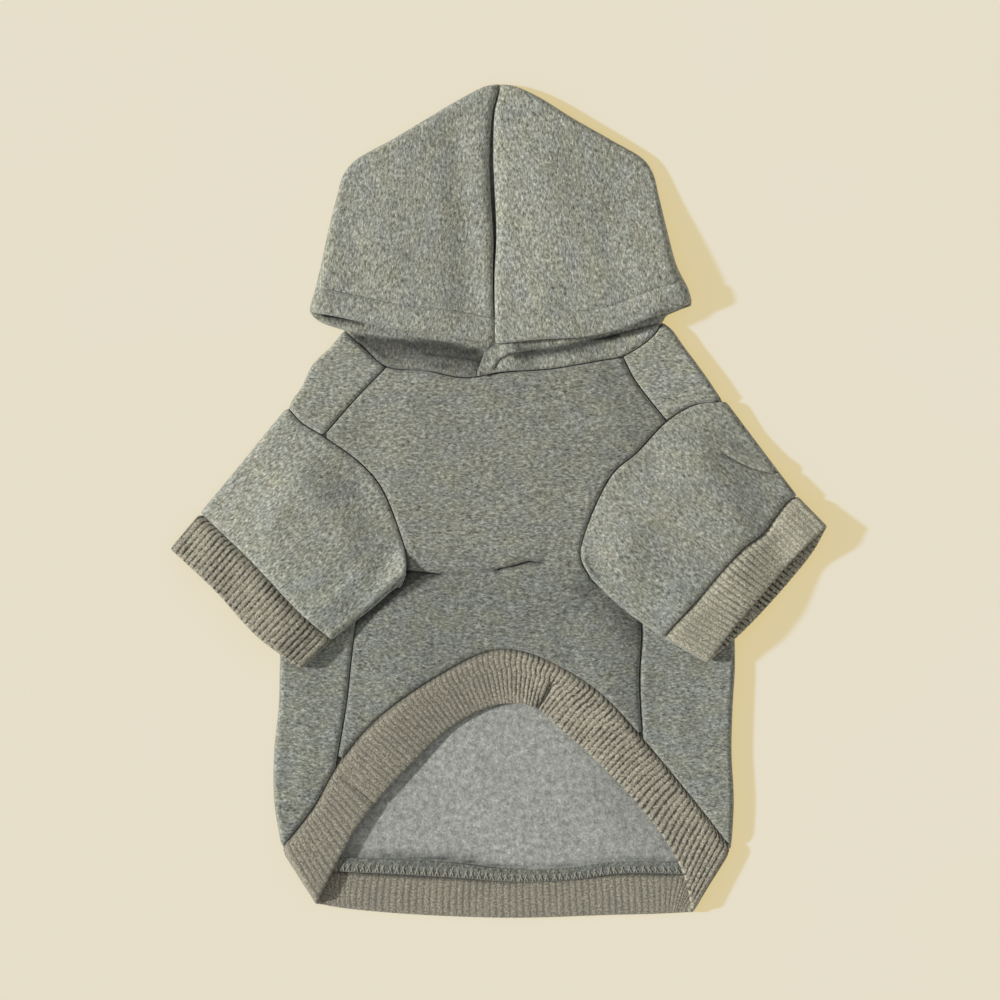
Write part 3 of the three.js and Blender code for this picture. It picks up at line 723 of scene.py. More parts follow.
def body_parts():
    """The layers of the back, which wraps round to the side and raglan seams, and those of the belly."""
    back = Outline(
        ("seam", stretch("neck_back")),
        ("fold", fold_between("right", FOLD_TOPS["right"] + 0.5)),
        ("seam", stretch("back_seam")[::-1]),
        ("fold", fold_between("left", FOLD_TOPS["left"])[::-1]),
        insets=Outline.CLOSE,
    )
    layers = [body_layer(back, top=False)]
    for side, neck, arch in (("left", (2, 0), (2, 0)), ("right", (8, 10), (11, 13))):
        armhole = within(stretch(f"armhole_{side}", 0, 2), side)
        shoulder = Outline(
            ("seam", within(stretch("neck_front", *neck), side)),
            ("fold", fold_between(side, FOLD_TOPS[side], armhole[0][1] + 1)),
            ("seam", armhole),
            ("seam", stretch(f"raglan_{side}")[::-1]),
        )
        underarm = within(stretch(f"underarm_{side}", 0, 4), side)
        strip = Outline(
            ("seam", underarm),
            ("seam", stretch(f"side_{side}")),
            ("seam", within(stretch("arch", *arch), side)),
            ("fold", fold_between(side, underarm[0][1] - 1)[::-1]),
        )
        layers += [body_layer(shoulder, top=True), body_layer(strip, top=True)]
    belly = Outline(
        ("seam", stretch("neck_front", 2, 8)),
        ("seam", stretch("raglan_right")),
        ("seam", stretch("armhole_right", 2, 8)),
        ("seam", stretch("underarm_right", 6, 4)),
        ("seam", stretch("side_right")),
        ("seam", stretch("arch", 11, 2)),
        ("seam", stretch("side_left")[::-1]),
        ("seam", stretch("underarm_left", 4, 6)),
        ("seam", stretch("armhole_left", 7, 2)),
        ("seam", stretch("raglan_left")[::-1]),
    )
    return layers, [body_layer(belly, top=True)]


# ---------------------------------------------------------------- hood

HOOD_FOLDS = {
    "left": beside(stretch("hood_side_left"), CLOTH / 2)[:-1],
    "right": beside(stretch("hood_side_right"), -CLOTH / 2)[:-1],
}
NECK_FOLDS = {
    "left": beside(stretch("neck_side_left"), CLOTH / 2)[1:],
    "right": beside(stretch("neck_side_right"), -CLOTH / 2)[1:],
}
LIP_HALF = 1.7  # half the thickness of the turned hem
TOP_SHARE = 0.75  # of the hood's level: only its top layer lies above that
NECK_TO_HOOD = {"from": 80, "over": 24}  # where the folded sides rise from the neck's level, in y
COLLAR_TOP_Y = 68
LAP_FROM, LAP_OVER, LAP_HEIGHT = 6, 12, LAYER + 0.2
COLLAR_STITCH = [(-80, 79.2), (-67.3, 74.7), (-46, 72.9), (-24.6, 71.2), (-11, 68.8), (-2, 68)]
# The left part of the collar sinks below its stitching, and the shadow of its hem there is painted on.
COLLAR_SAG = {"depth": 2.6, "over": 1.6, "from": -66, "to": -8, "ends": 9, "neck": 5}
# The painted shadow below the left collar's stitching: how dark, how it comes in and how far it reaches below
# the stitching, and where along x it starts and ends.
COLLAR_SHADE = {
    "amount": 0.76, "over": 0.8, "reach": 15, "from": -72, "from_over": 12, "to": -5, "to_over": 3,
}
THROAT_SHARE = {"left": 0.62, "right": 0.42}  # where each part ends along the neck seam
HEM_FOLD = {"depth": 11.0, "groove": 0.9, "groove_width": 1.2, "rise": 0.75, "rise_over": 1.2}
VALLEY = {"y": 138, "over": 34, "open": 0.75, "roll": 3.2, "sink": 1.3}  # where the centre seam lies open


def collar_level(x, y, side):
    """The middle of the collar, whose right part laps over its left one."""
    level = body_level(x, np.minimum(y, COLLAR_TOP_Y))
    if side == "right":
        return level + LAP_HEIGHT * (1 - smooth((x - LAP_FROM) / LAP_OVER))
    above_neck = distance_to(np.column_stack([x, y]), Path(EDGES["neck_front"]).points[::6])
    sag = COLLAR_SAG
    along = smooth((x - sag["from"]) / sag["ends"]) * smooth((sag["to"] - x) / sag["ends"] + 1)
    across = smooth(below_stitch(x, y) / sag["over"]) * smooth(above_neck / sag["neck"])
    return level - sag["depth"] * along * across


def below_stitch(x, y):
    """How far below the left collar's stitching a point is."""
    stitch = Path(COLLAR_STITCH).points
    return np.interp(x, stitch[:, 0], stitch[:, 1]) - y


def hood_middle(x, y):
    """The height of the hood's folded side, which comes down to that of the neck below the lip."""
    neck = (body_level(x, np.minimum(y, COLLAR_TOP_Y)) + LEVEL_BACK) / 2
    risen = smooth((y - NECK_TO_HOOD["from"]) / NECK_TO_HOOD["over"])
    return lerp(neck, (hood_level(x, y) + LEVEL_BACK) / 2, risen)


def hem_line():
    """Where the hood's turned hem is stitched down."""
    return beside(stretch("lip"), HEM_FOLD["depth"])[4:-4]


def halved(line, side, middle=-1.5):
    """The part of a line from left to right that is on one side of the hood's centre seam."""
    return line[line[:, 0] < middle] if side == "left" else line[line[:, 0] > middle]


def hood_centre(side):
    """One side of the centre seam, which lies open along the crown."""
    line = stretch("hood_centre")
    line[:, 0] -= INWARDS[side] * VALLEY["open"] * bell(line[:, 1] - VALLEY["y"], VALLEY["over"])
    return line


def hood_lift(side, kind, points, outline):
    """The height of the middle of one layer of a hood half."""
    x, y = points.T
    folds = np.minimum(distance_to(points, HOOD_FOLDS[side]), distance_to(points, NECK_FOLDS[side]))
    middle = hood_middle(x, y)
    from_seam = outline.distance(points, "seam")
    if kind == "back":
        turn = folded(folds, middle - LEVEL_BACK)
        raised = np.maximum(relief("hood_back", x, y), 0) + UNDER_SHARE * sink(from_seam)
        return middle - (middle - LEVEL_BACK - raised) * turn
    if kind == "collar":
        high = collar_level(x, y, side) + relief("collar", x, y)
        turn = folded(folds, high - middle)
        return middle + (high - middle - sink(from_seam)) * turn
    high = hood_level(x, y) + relief("hood", x, y)
    turn = folded(folds, high - middle)
    opened = bell(y - VALLEY["y"], VALLEY["over"])
    valley = sink(from_seam, SEAM_ROLL + VALLEY["roll"] * opened, SEAM_SINK + VALLEY["sink"] * opened)
    groove = HEM_FOLD["groove"] * bell(distance_to(points, hem_line()), HEM_FOLD["groove_width"])
    return middle + (high - middle - valley - groove) * turn


def hood_parts(side):
    """The layers of a hood half: its top, its back and its part of the collar."""
    fold, neck_fold = HOOD_FOLDS[side], NECK_FOLDS[side]
    lip, neck_back = halved(stretch("lip"), side), halved(stretch("neck_back"), side)
    free = stretch(f"collar_{side}")
    if side == "left":
        lip = lip[::-1]
    else:
        neck_back, free = neck_back[::-1], free[::-1]
    centre_back = Path(EDGES["hood_centre_back"], smooth=False).spaced(EDGE_STEP)
    along_neck = np.linspace(0 if side == "left" else 1, THROAT_SHARE[side], 80)
    neck = Path(Path(EDGES["neck_front"]).at(along_neck), smooth=False).spaced(EDGE_STEP)
    tip = Path([neck[-1], free[-1]], smooth=False).spaced(EDGE_STEP)
    outlines = {
        "top": Outline(
            ("seam", hood_centre(side)[::-1]), ("fold", fold), ("hem", lip[::-1]), insets={"hem": LIP_HALF}
        ),
        "back": Outline(
            ("seam", centre_back[::-1]), ("fold", fold), ("fold", neck_fold), ("seam", neck_back),
            insets=Outline.CLOSE
        ),
        "collar": Outline(("seam", neck), ("hem", tip), ("hem", free[::-1]), ("fold", neck_fold)),
    }
    fine = {"top": [hem_line()[::3]], "back": (), "collar": fine_lines("collar")}
    made = []
    for kind, outline in outlines.items():
        points, faces = plan_mesh(outline.points, SPACING, fine[kind])
        z = hood_lift(side, kind, points, outline)
        made.append((np.column_stack([points, z]), faces[:, ::-1] if kind == "back" else faces))
    return made


def in_hood_top(points):
    return points[:, 2] > TOP_SHARE * hood_level(points[:, 0], points[:, 1])


def hood_half_thickness(points):
    """Half the hood's thickness: its turned hem is double."""
    from_lip = distance_to(points[:, :2], stretch("lip"))
    doubled = smooth((HEM_FOLD["depth"] - from_lip) / HEM_FOLD["rise_over"])
    return CLOTH / 2 + HEM_FOLD["rise"] * doubled * in_hood_top(points)


# ---------------------------------------------------------------- sleeves, cuffs and hem band

FOLD_STEPS, FLAT_STEPS = 16, 260  # marks round a folded edge and along a layer, before they are spaced evenly
RIB_SAMPLES = 8  # points across one rib


def half_row(path, side, low_level, high_level, cloth):
    """Points over one layer of a flattened tube, from its first folded edge to its last one."""
    length = path.length
    radii = []
    for end in (0.0, 1.0):
        x, y = path.at(np.array([end])).T
        radii.append(FOLD_REACH * 0.5 * (high_level(x, y, end) - low_level(x, y, end))[0])
    bend = 1 - np.cos(np.linspace(0, math.pi / 2, FOLD_STEPS, endpoint=False))
    first = cloth / 2 + radii[0] * bend
    last = length - cloth / 2 - radii[1] * bend[::-1]
    flat = np.linspace(cloth / 2 + radii[0], length - cloth / 2 - radii[1], FLAT_STEPS)
    distance = np.concatenate([first, flat, last])
    inwards = np.minimum((distance - cloth / 2) / radii[0], (length - cloth / 2 - distance) / radii[1])
    turn = np.sqrt(np.clip(1 - (1 - np.clip(inwards, 0, 1)) ** 2, 0, 1))
    share = distance / length
    x, y = path.at(share).T
    low, high = low_level(x, y, share), high_level(x, y, share)
    return np.column_stack([x, y, (low + high) / 2 + side * turn * (high - low) / 2])


def evenly(points, count, match=None, t=0.0):
    """The same line in a number of even steps, or with its points a share t of the way to matching ones."""
    run = np.concatenate([[0], np.cumsum(np.linalg.norm(np.diff(points, axis=0), axis=1))])
    shares = np.linspace(0, 1, count + 1)
    places = run[-1] * (lerp(shares, match(shares), t) if match else shares)
    return np.stack([np.interp(places, run, points[:, k]) for k in range(3)], axis=1)


def tube_row(upper, lower, low_level, high_level, counts, cloth, matches=(None, None), t=0.0):
    """Points round a flattened tube: over its upper layer, then back along its lower one."""
    top = half_row(upper, 1, low_level, high_level, cloth)
    under = half_row(lower, -1, low_level, high_level, cloth)
    under[0], under[-1] = top[0], top[-1]
    top, under = evenly(top, counts[0], matches[0], t), evenly(under, counts[1], matches[1], t)
    return np.vstack([top[:-1], under[::-1][:-1]])


def ring_mesh(rows):
    """The points and quads of a tube, with its faces turned out."""
    points = np.vstack(rows)
    faces = grid_faces(len(rows), len(rows[0]), ring=True)
    top = points[:, 2] > np.median(points[:, 2])
    if normals_of(points, faces)[top, 2].mean() < 0:
        faces = [face[::-1] for face in faces]
    return points, faces


SLEEVES = {
    "left": {
        "seam": [(-131, -5.2), (-119.8, -15.6), (-107.5, -27.5), (-86.4, -49.3), (-72.6, -60.6)],
        "fold_level": {"seam": 1.9, "lip": 1.9},
        "outer": 2.0,
        "lip_hollow": 1.0,
        "sag": 4.0,
    },
    "right": {
        "seam": [
            (131.2, 2.4), (126.6, -0.6), (120.9, -7.9), (116.4, -13.9), (107.3, -20.9), (99.1, -29.7),
            (89.4, -40.8), (80, -51), (72, -59.8),
        ],
        "fold_level": {"seam": 3.4, "lip": 6.6},
        "outer": 0.3,
        "lip_hollow": 0.9,
        "sag": 1.0,
    },
}
CUFF_LIPS = {
    "left": {
        "upper": [(-144.2, -21), (-124.5, -39), (-105.5, -59.5), (-86, -73.6)],
        "lower": [(-144.2, -21), (-124.5, -39.5), (-105.5, -60), (-86, -73.6)],
    },
    "right": {
        "upper": [(144.2, -11), (135.6, -19), (127.4, -27.2), (114.6, -42), (103.6, -55), (92, -71)],
        "lower": [(144.2, -11), (138.9, -21.4), (130.8, -32.3), (121.2, -43.4), (108, -57), (92, -71)],
    },
}
SLEEVE_SLOPE = {"from": 8, "over": 20, "outside": 26}
SLEEVE_STEP, RIB_STEP = 1.0, 1.4
PUFF, END_BLEND = 0.4, 0.16  # shares of a sleeve's length that it fills out over, and of its width at a fold
ARMHOLE_HOLLOW, SLEEVE_HOLLOW, LEAST_HOLLOW = 3.6, 7.0, 3.2  # between a sleeve's two layers
HOLLOW_EDGE, HOLLOW_OVER = 0.55, 16  # the hollow's share of its height at a folded edge, and its rise
SLEEVE_START, CUFF_START = 1.25, 1.75  # from a seam's line to the middle of a rounded edge
CUFF_DEPTH, BAND_DEPTH = 21, 23
ROLL = {"over": 3.0, "depth": 0.6}  # the cloth turns down into the seams of tubes
CUFF_ROLL = {"over": 3.5, "depth": 1.3}


def sleeve_floor(side, edge_level, x, y, share, length):
    """The lower layer lies on the body, and slopes down beyond it and to its outer fold."""
    beyond = np.maximum(body_left(y) - x, x - body_right(y))
    outer = lerp(LEVEL_SIDE, SLEEVES[side]["outer"], smooth(beyond / SLEEVE_SLOPE["outside"]))
    over = np.where(beyond < 0, body_level(x, y), outer)
    rise = smooth((share * length - SLEEVE_SLOPE["from"]) / SLEEVE_SLOPE["over"])
    return lerp(edge_level, over + LAYER, rise)


def hollow_at(share, length, reach):
    """From the lower layer of a sleeve to its upper one: less towards the folded edges and the armhole."""
    inwards = np.minimum(share, 1 - share) * length
    height = lerp(ARMHOLE_HOLLOW, SLEEVE_HOLLOW, smooth(reach))
    return height * lerp(HOLLOW_EDGE, 1, smooth(inwards / HOLLOW_OVER))


def sleeve_rows(side):
    top, under = Path(EDGES[f"armhole_{side}"]), Path(EDGES[f"underarm_{side}"])
    seam = Path(SLEEVES[side]["seam"])
    reach = np.linalg.norm(seam.at(0.5) - top.at(0.5))
    shares = np.linspace(SLEEVE_START / reach, 1 - SLEEVE_START / reach, int(reach / SLEEVE_STEP))
    counts = int(top.length / SLEEVE_STEP), int(under.length / SLEEVE_STEP)
    rows = []
    for t in shares:
        bow = -SLEEVES[side]["sag"] * math.sin(math.pi * t)
        upper, lower = between(top, seam, t, bow), between(under, seam, t, bow)
        at_seam = min(t, 1 - t) * reach - SLEEVE_START
        dip = sink(at_seam, ROLL["over"], ROLL["depth"])
        edge_level = lerp(LEVEL_BACK + SEAM_GAP, SLEEVES[side]["fold_level"]["seam"], t**2)

        def low(x, y, share):
            return sleeve_floor(side, edge_level, x, y, share, upper.length)

        def high(x, y, share):
            puffed = low(x, y, share) + hollow_at(share, upper.length, t) + relief(f"sleeve_{side}", x, y)
            level = lerp(body_level(x, y), puffed, smooth(t / PUFF)) - dip
            lacking = np.maximum(low(x, y, share) + LEAST_HOLLOW - level, 0)
            return level + lacking * (1 - smooth((1 - share) / END_BLEND))

        rows.append(tube_row(upper, lower, low, high, counts, CLOTH))
    return rows


def knit_fields(rows, counts, step):
    """Where each point of a ribbed tube is: its rib, as a number, and its place along the rib."""
    ribs = np.arange(sum(counts) * RIB_SAMPLES) / RIB_SAMPLES
    return np.stack([np.tile(ribs, len(rows)), np.repeat(np.arange(len(rows)) * step, len(ribs))], axis=1)


# The rib's seam allowance is tucked in past its seam. Its ends keep clear of the folded sides there.
ALLOWANCE = {"distances": (-3.5, -2.0, -0.4), "half": 0.4, "cuff_inset": 2.5, "band_inset": 5.0, "shade": 0.8}


def rib_rows(seams, lips, depth, roll, inset, levels, matches=(None, None)):
    """The rows of points of a tube of rib knit, from its seam to its turned edge, and each layer's ribs.

    "seams" and "lips" are the upper and the lower layer's paths there. "levels" is given a share of the depth
    and the length at it, and returns the heights that the tube lies on and comes up to, as functions."""
    counts = [max(1, round(between(*ends, 0.5).length / RIB_PITCH)) for ends in zip(seams, lips)]
    steps = [count * RIB_SAMPLES for count in counts]
    outside = np.linspace(CUFF_START, depth - RIB / 2, int(depth / RIB_STEP) + 1)
    rows = []
    for distance in [*ALLOWANCE["distances"], *outside]:
        tucked = distance < 0
        upper, lower = (between(*ends, distance / depth) for ends in zip(seams, lips))
        share_down = max(distance / depth, 0)
        floor, ceiling = levels(share_down, upper.length)
        rise, dip = (RIB - CLOTH) / 2, sink(max(distance - CUFF_START, 0), roll["over"], roll["depth"])
        if tucked:
            rise = dip = CLOTH / 2 + ALLOWANCE["half"]

        def low(x, y, share):
            return floor(x, y, share) + rise

        def high(x, y, share):
            return ceiling(x, y, share) - dip

        across = 2 * inset if tucked else RIB
        rows.append(tube_row(upper, lower, low, high, steps, across, matches, share_down))
    return rows, counts


def cuff_rows(side):
    sleeve, lips = SLEEVES[side], CUFF_LIPS[side]
    seam, fold_level = Path(sleeve["seam"]), sleeve["fold_level"]

    def levels(t, length):
        edge_level = lerp(fold_level["seam"], fold_level["lip"], t)
        fullness = lerp(1, sleeve["lip_hollow"], t)

        def floor(x, y, share):
            return sleeve_floor(side, edge_level, x, y, share, length)

        def ceiling(x, y, share):
            return floor(x, y, share) + fullness * hollow_at(share, length, 1)

        return floor, ceiling

    lip_paths = Path(lips["upper"]), Path(lips["lower"])
    return rib_rows((seam, seam), lip_paths, CUFF_DEPTH, CUFF_ROLL, ALLOWANCE["cuff_inset"], levels)


BAND_EDGE = {"middle": 3.9, "corner": 6.4}  # levels of the turned edge's upper layer
BAND_CORNER_Y = -150
TUCK = {"line": TUCK_LINE, "width": 1.3, "depth": 2.2}
BAND_JOIN = {"line": JOIN_LINE, "width": 0.7, "depth": 0.8}


def trough(feature, x, y):
    return feature["depth"] * bell(from_line(np.column_stack([x, y]), feature["line"]), feature["width"])


def matching(seam, hem, held=0.2, steps=80, fine_steps=800):
    """A function from places along a seam to those along a hem that lie square to it, but for its ends."""
    shares = np.linspace(0, 1, steps + 1)
    line = hem.at(np.linspace(0, 1, fine_steps + 1))
    nearest = np.array([np.argmin(np.hypot(*(line - point).T)) / fine_steps for point in seam.at(shares)])
    found = shares + smooth(np.minimum(shares, 1 - shares) / held) * (nearest - shares)
    return lambda places: np.interp(places, shares, np.maximum.accumulate(found))


def band_rows():
    arch, arch_hem, back_seam, back_hem = (
        Path(EDGES[name]) for name in ("arch", "arch_hem", "back_seam", "back_hem")
    )

    def levels(t, _):
        def floor(x, y, share):
            return LEVEL_BACK + 0 * x

        def ceiling(x, y, share):
            hem = lerp(BAND_EDGE["corner"], BAND_EDGE["middle"], np.sin(math.pi * share))
            level = lerp(body_level(x, np.maximum(y, BAND_CORNER_Y)), hem, t)
            return level - trough(TUCK, x, y) - trough(BAND_JOIN, x, y)

        return floor, ceiling

    matches = matching(arch, arch_hem), matching(back_seam, back_hem)
    seams, hems = (arch, back_seam), (arch_hem, back_hem)
    return rib_rows(seams, hems, BAND_DEPTH, ROLL, ALLOWANCE["band_inset"], levels, matches)


BAND_RELAXED = {"left": 0.85, "right": 0.1, "from": -12, "over": 34, "lower": 0.85}
# Where the knit of the right cuff's upper layer is drawn up, and how far it lies open elsewhere.
CUFF_RELAXED = {"x": 106, "over": 9, "drawn": 0.45, "open": 0.95}


def band_relaxed(points, upper):
    """The band's ribs lie open on its left half and its lower layer, and are drawn up on its right half."""
    b = BAND_RELAXED
    across = lerp(b["left"], b["right"], smooth((points[:, 0] - b["from"]) / b["over"]))
    return np.where(upper, across, b["lower"])


def cuff_relaxed(side, points, upper):
    """The left cuff's ribs are drawn up, and the right one's lie open on its upper layer."""
    c = CUFF_RELAXED
    return upper * lerp(c["open"], c["drawn"], bell(points[:, 0] - c["x"], c["over"])) * (side == "right")


RIB_HEIGHT, LIP_HEIGHT, LIP_OVER = 0.45, 0.2, 4.0  # of the ribs, and of the ribs at the turned edge
RELAXED_HEIGHT = 0.55  # how much lower ribs are where the knit is relaxed
CREST_POWER = 0.7  # below 1, crests are broader than furrows


def ribbed(name, rows, counts, material, depth, relaxed, darker, shading):
    """A tube of rib knit. "relaxed" is 0 where its ribs are drawn up and 1 where they lie open: a function of
    its points and of whether each is in the upper layer. "darker" is how much darker open ribs are, and
    "shading" is a function of the points, for the upper layer."""
    points, faces = ring_mesh(rows)
    step = depth / (len(rows) - 1)
    knit = knit_fields(rows, counts, step)
    tucked = knit[:, 1] < (len(ALLOWANCE["distances"]) - 0.5) * step
    upper = knit[:, 0] < counts[0]
    open_knit = relaxed(points, upper)
    height = lerp(LIP_HEIGHT, RIB_HEIGHT, smooth((knit[:, 1].max() - knit[:, 1]) / LIP_OVER))
    crest = np.abs(np.cos(math.pi * knit[:, 0])) ** CREST_POWER
    furrow = height * (1 - RELAXED_HEIGHT * open_knit) * (1 - crest)
    half = np.where(tucked, ALLOWANCE["half"], RIB / 2 - furrow)
    lit = (1 - darker * open_knit) * (1 - shading(points) * upper)
    # The tucked allowance, where it shows in the gap at a seam, is painted dark as shade.
    dark = np.where(tucked, ALLOWANCE["shade"], 1 - lit)
    fields = {"knit": knit, "relaxed": open_knit, "shade": dark}
    points, faces, fields = shell(points, faces, half, fields)
    return piece(name, points, faces, fields, material)


# ---------------------------------------------------------------- overlocked seam allowance

# The allowance of the back's hem seam shows inside the garment: a strip bound with loops of thread.
OVERLOCK = {
    "upper": [(-72, -156.6), (-52.1, -157.3), (-23.5, -158.7), (-1.9, -161.2), (15.3, -162), (33.7, -160.8),
              (48.3, -158.7), (82, -158.6)],
    "lower": [(-73, -162.6), (-45, -163.9), (-16.4, -165.6), (9.5, -167.2), (33.7, -166.2), (55.3, -163.5),
              (84, -163.8)],
    "level": 3.6, "half": 0.55, "step": 1.0, "across": 6, "margin": 0.08, "rise": 0.35,
}
LOOP = {
    "pitch": 3.0, "radius": 0.34, "from": 0.04, "to": 0.66, "steps": 10, "sides": 8, "lift": 0.4,
    "swing": 0.12, "swing_turn": 2.4,
}
LOOP_STROKES = ((0.1, 0.5, 1.0), (0.62, -0.38, 0.92))  # start and lean, as shares of the pitch, and reach


def overlock_strip(name, material):
    upper, lower = Path(OVERLOCK["upper"]), Path(OVERLOCK["lower"])
    count = int(upper.length / OVERLOCK["step"])
    rows = []
    for share in np.linspace(OVERLOCK["margin"], 1 - OVERLOCK["margin"], OVERLOCK["across"]):
        plan = between(upper, lower, share, samples=count).points
        level = OVERLOCK["level"] + OVERLOCK["rise"] * math.sin(math.pi * share)
        rows.append(np.column_stack([plan, np.full(count, level)]))
    points = np.vstack(rows)
    faces = grid_faces(len(rows), count, ring=False)
    if normals_of(points, faces)[:, 2].mean() < 0:
        faces = [face[::-1] for face in faces]
    points, faces, fields = shell(points, faces, OVERLOCK["half"])
    return piece(name, points, faces, fields, material)


def tube(line, radius, sides):
    """A closed tube along a line in space, with its ends drawn in."""
    along = np.gradient(line, axis=0)
    along /= np.linalg.norm(along, axis=1)[:, None]
    across = np.cross(along, (0, 0, 1))
    across /= np.maximum(np.linalg.norm(across, axis=1), 1e-9)[:, None]
    up = np.cross(across, along)
    taper = np.ones(len(line))
    taper[[0, -1]] = 0.3
    turns = 2 * math.pi * np.arange(sides) / sides
    ring = np.cos(turns)[None, :, None] * across[:, None] + np.sin(turns)[None, :, None] * up[:, None]
    points = (line[:, None] + radius * taper[:, None, None] * ring).reshape(-1, 3)
    faces = grid_faces(len(line), sides, ring=True)
    last = len(points) - sides
    return points, faces + [list(range(sides))[::-1], list(range(last, last + sides))]


def overlock_loops(name, material):
    """Slanted loops of thread that go up over the strip and back down."""
    upper, lower = Path(OVERLOCK["upper"]), Path(OVERLOCK["lower"])
    count = int(lower.length / LOOP["pitch"])
    t = np.linspace(0, 1, LOOP["steps"])
    points, faces = [], []
    total = 0
    for number in range(count):
        swing = LOOP["swing"] * math.sin(LOOP["swing_turn"] * number)
        for start, lean, reach in LOOP_STROKES:
            along = (number + start + swing + lean * t) / count
            across = lerp(LOOP["from"], LOOP["to"] * reach + 0.1 * swing, t)[:, None]
            plan = lerp(lower.at(along), upper.at(along), across)
            height = OVERLOCK["level"] + OVERLOCK["half"] + LOOP["lift"] * np.sin(math.pi * (0.15 + 0.7 * t))
            made, quads = tube(np.column_stack([plan, height]), LOOP["radius"], LOOP["sides"])
            points.append(made)
            faces += [[total + k for k in face] for face in quads]
            total += len(made)
    return piece(name, np.vstack(points), faces, {}, material)


# ---------------------------------------------------------------- materials


class Nodes:
    """A material's node tree. Each call adds one node and returns one of its outputs."""

    def __init__(self, name):
        self.material = bpy.data.materials.new(name)
        self.material.use_nodes = True
        self.tree = self.material.node_tree
        self.shader = self.tree.nodes["Principled BSDF"]

    def plug(self, value, socket):
        if isinstance(value, bpy.types.NodeSocket):
            self.tree.links.new(value, socket)
        else:
            socket.default_value = value

    def add(self, kind, sockets, output=0, **settings):
        node = self.tree.nodes.new(kind)
        for key, value in settings.items():
            setattr(node, key, value)
        for key, value in sockets.items():
            self.plug(value, node.inputs[key])
        return node.outputs[output]

    def math(self, operation, a, b=0.0):
        return self.add("ShaderNodeMath", {0: a, 1: b}, operation=operation)

    def spread(self, value, low, high, to_low=0.0, to_high=1.0):
        sockets = {"Value": value, "From Min": low, "From Max": high, "To Min": to_low, "To Max": to_high}
        return self.add("ShaderNodeMapRange", sockets)

    def noise(self, vector, scale, detail, roughness):
        sockets = {"Vector": vector, "Scale": scale, "Detail": detail, "Roughness": roughness}
        return self.add("ShaderNodeTexNoise", sockets)

    def mix(self, factor, a, b, blend="MIX"):
        sockets = {0: factor, 6: a, 7: b}
        return self.add("ShaderNodeMix", sockets, output=2, data_type="RGBA", blend_type=blend)

    def multiply(self, a, b, factor=1.0):
        return self.mix(factor, a, b, "MULTIPLY")

    def attribute(self, name, output="Fac"):
        return self.add("ShaderNodeAttribute", {}, output=output, attribute_name=name)

    def place(self):
        return self.add("ShaderNodeTexCoord", {}, output="Object")

    def split(self, vector):
        """The x, y and z of a vector."""
        node = self.tree.nodes.new("ShaderNodeSeparateXYZ")
        self.plug(vector, node.inputs[0])
        return node.outputs

    def streaks(self, turn, width, length, detail=2.0, roughness=0.5):
        """Noise in streaks of a width and length in millimetres, turned by an angle in degrees."""
        rotation = 0, 0, math.radians(turn)
        scale = 1 / MM / width, 1 / MM / length, 1 / MM / width
        turned = self.add("ShaderNodeMapping", {"Vector": self.place(), "Rotation": rotation})
        scaled = self.add("ShaderNodeMapping", {"Vector": turned, "Scale": scale})
        return self.noise(scaled, 1.0, detail, roughness)

    def finish(self, colour, height, bump, roughness=0.92, sheen=0.25):
        bumped = self.add("ShaderNodeBump", {"Height": height, "Strength": 1.0, "Distance": bump * MM})
        self.plug(colour, self.shader.inputs["Base Color"])
        self.plug(bumped, self.shader.inputs["Normal"])
        self.shader.inputs["Roughness"].default_value = roughness
        self.shader.inputs["Sheen Weight"].default_value = sheen
        self.shader.inputs["Sheen Roughness"].default_value = 0.6
        self.shader.inputs["Specular IOR Level"].default_value = 0.25
        return self.material


def rgb(red, green, blue):
    """A linear colour from an 8-bit sRGB one."""
    shares = (level / 255 for level in (red, green, blue))
    return (*(v / 12.92 if v <= 0.04045 else ((v + 0.055) / 1.055) ** 2.4 for v in shares), 1.0)


MARL = {"dark": rgb(62, 61, 55), "base": rgb(145, 144, 134), "light": rgb(212, 211, 200)}
BRUSHED = {"dark": rgb(122, 124, 116), "base": rgb(157, 159, 151), "light": rgb(190, 191, 182)}
DEEP_SHADE = rgb(20, 20, 26)
HEM_TONE_AND_SHADE = {"tint": (0.985, 1.01, 1.03), "from": -22, "to": -36}  # the colour changes between these y: cooler and darker towards the hem, partly as painted shade


def fibres(nodes, turn):
    """The mottle of dyed and undyed fibres: long soft streaks with fine flecks in them, from 0 to 1."""
    coarse = nodes.streaks(turn, 1.0, 2.0, 3.0, 0.65)
    fine = nodes.streaks(turn + 7, 0.45, 1.3, 2.0, 0.6)
    both = nodes.math("ADD", nodes.math("MULTIPLY", coarse, 0.6), nodes.math("MULTIPLY", fine, 0.4))
    return nodes.spread(both, 0.33, 0.67)


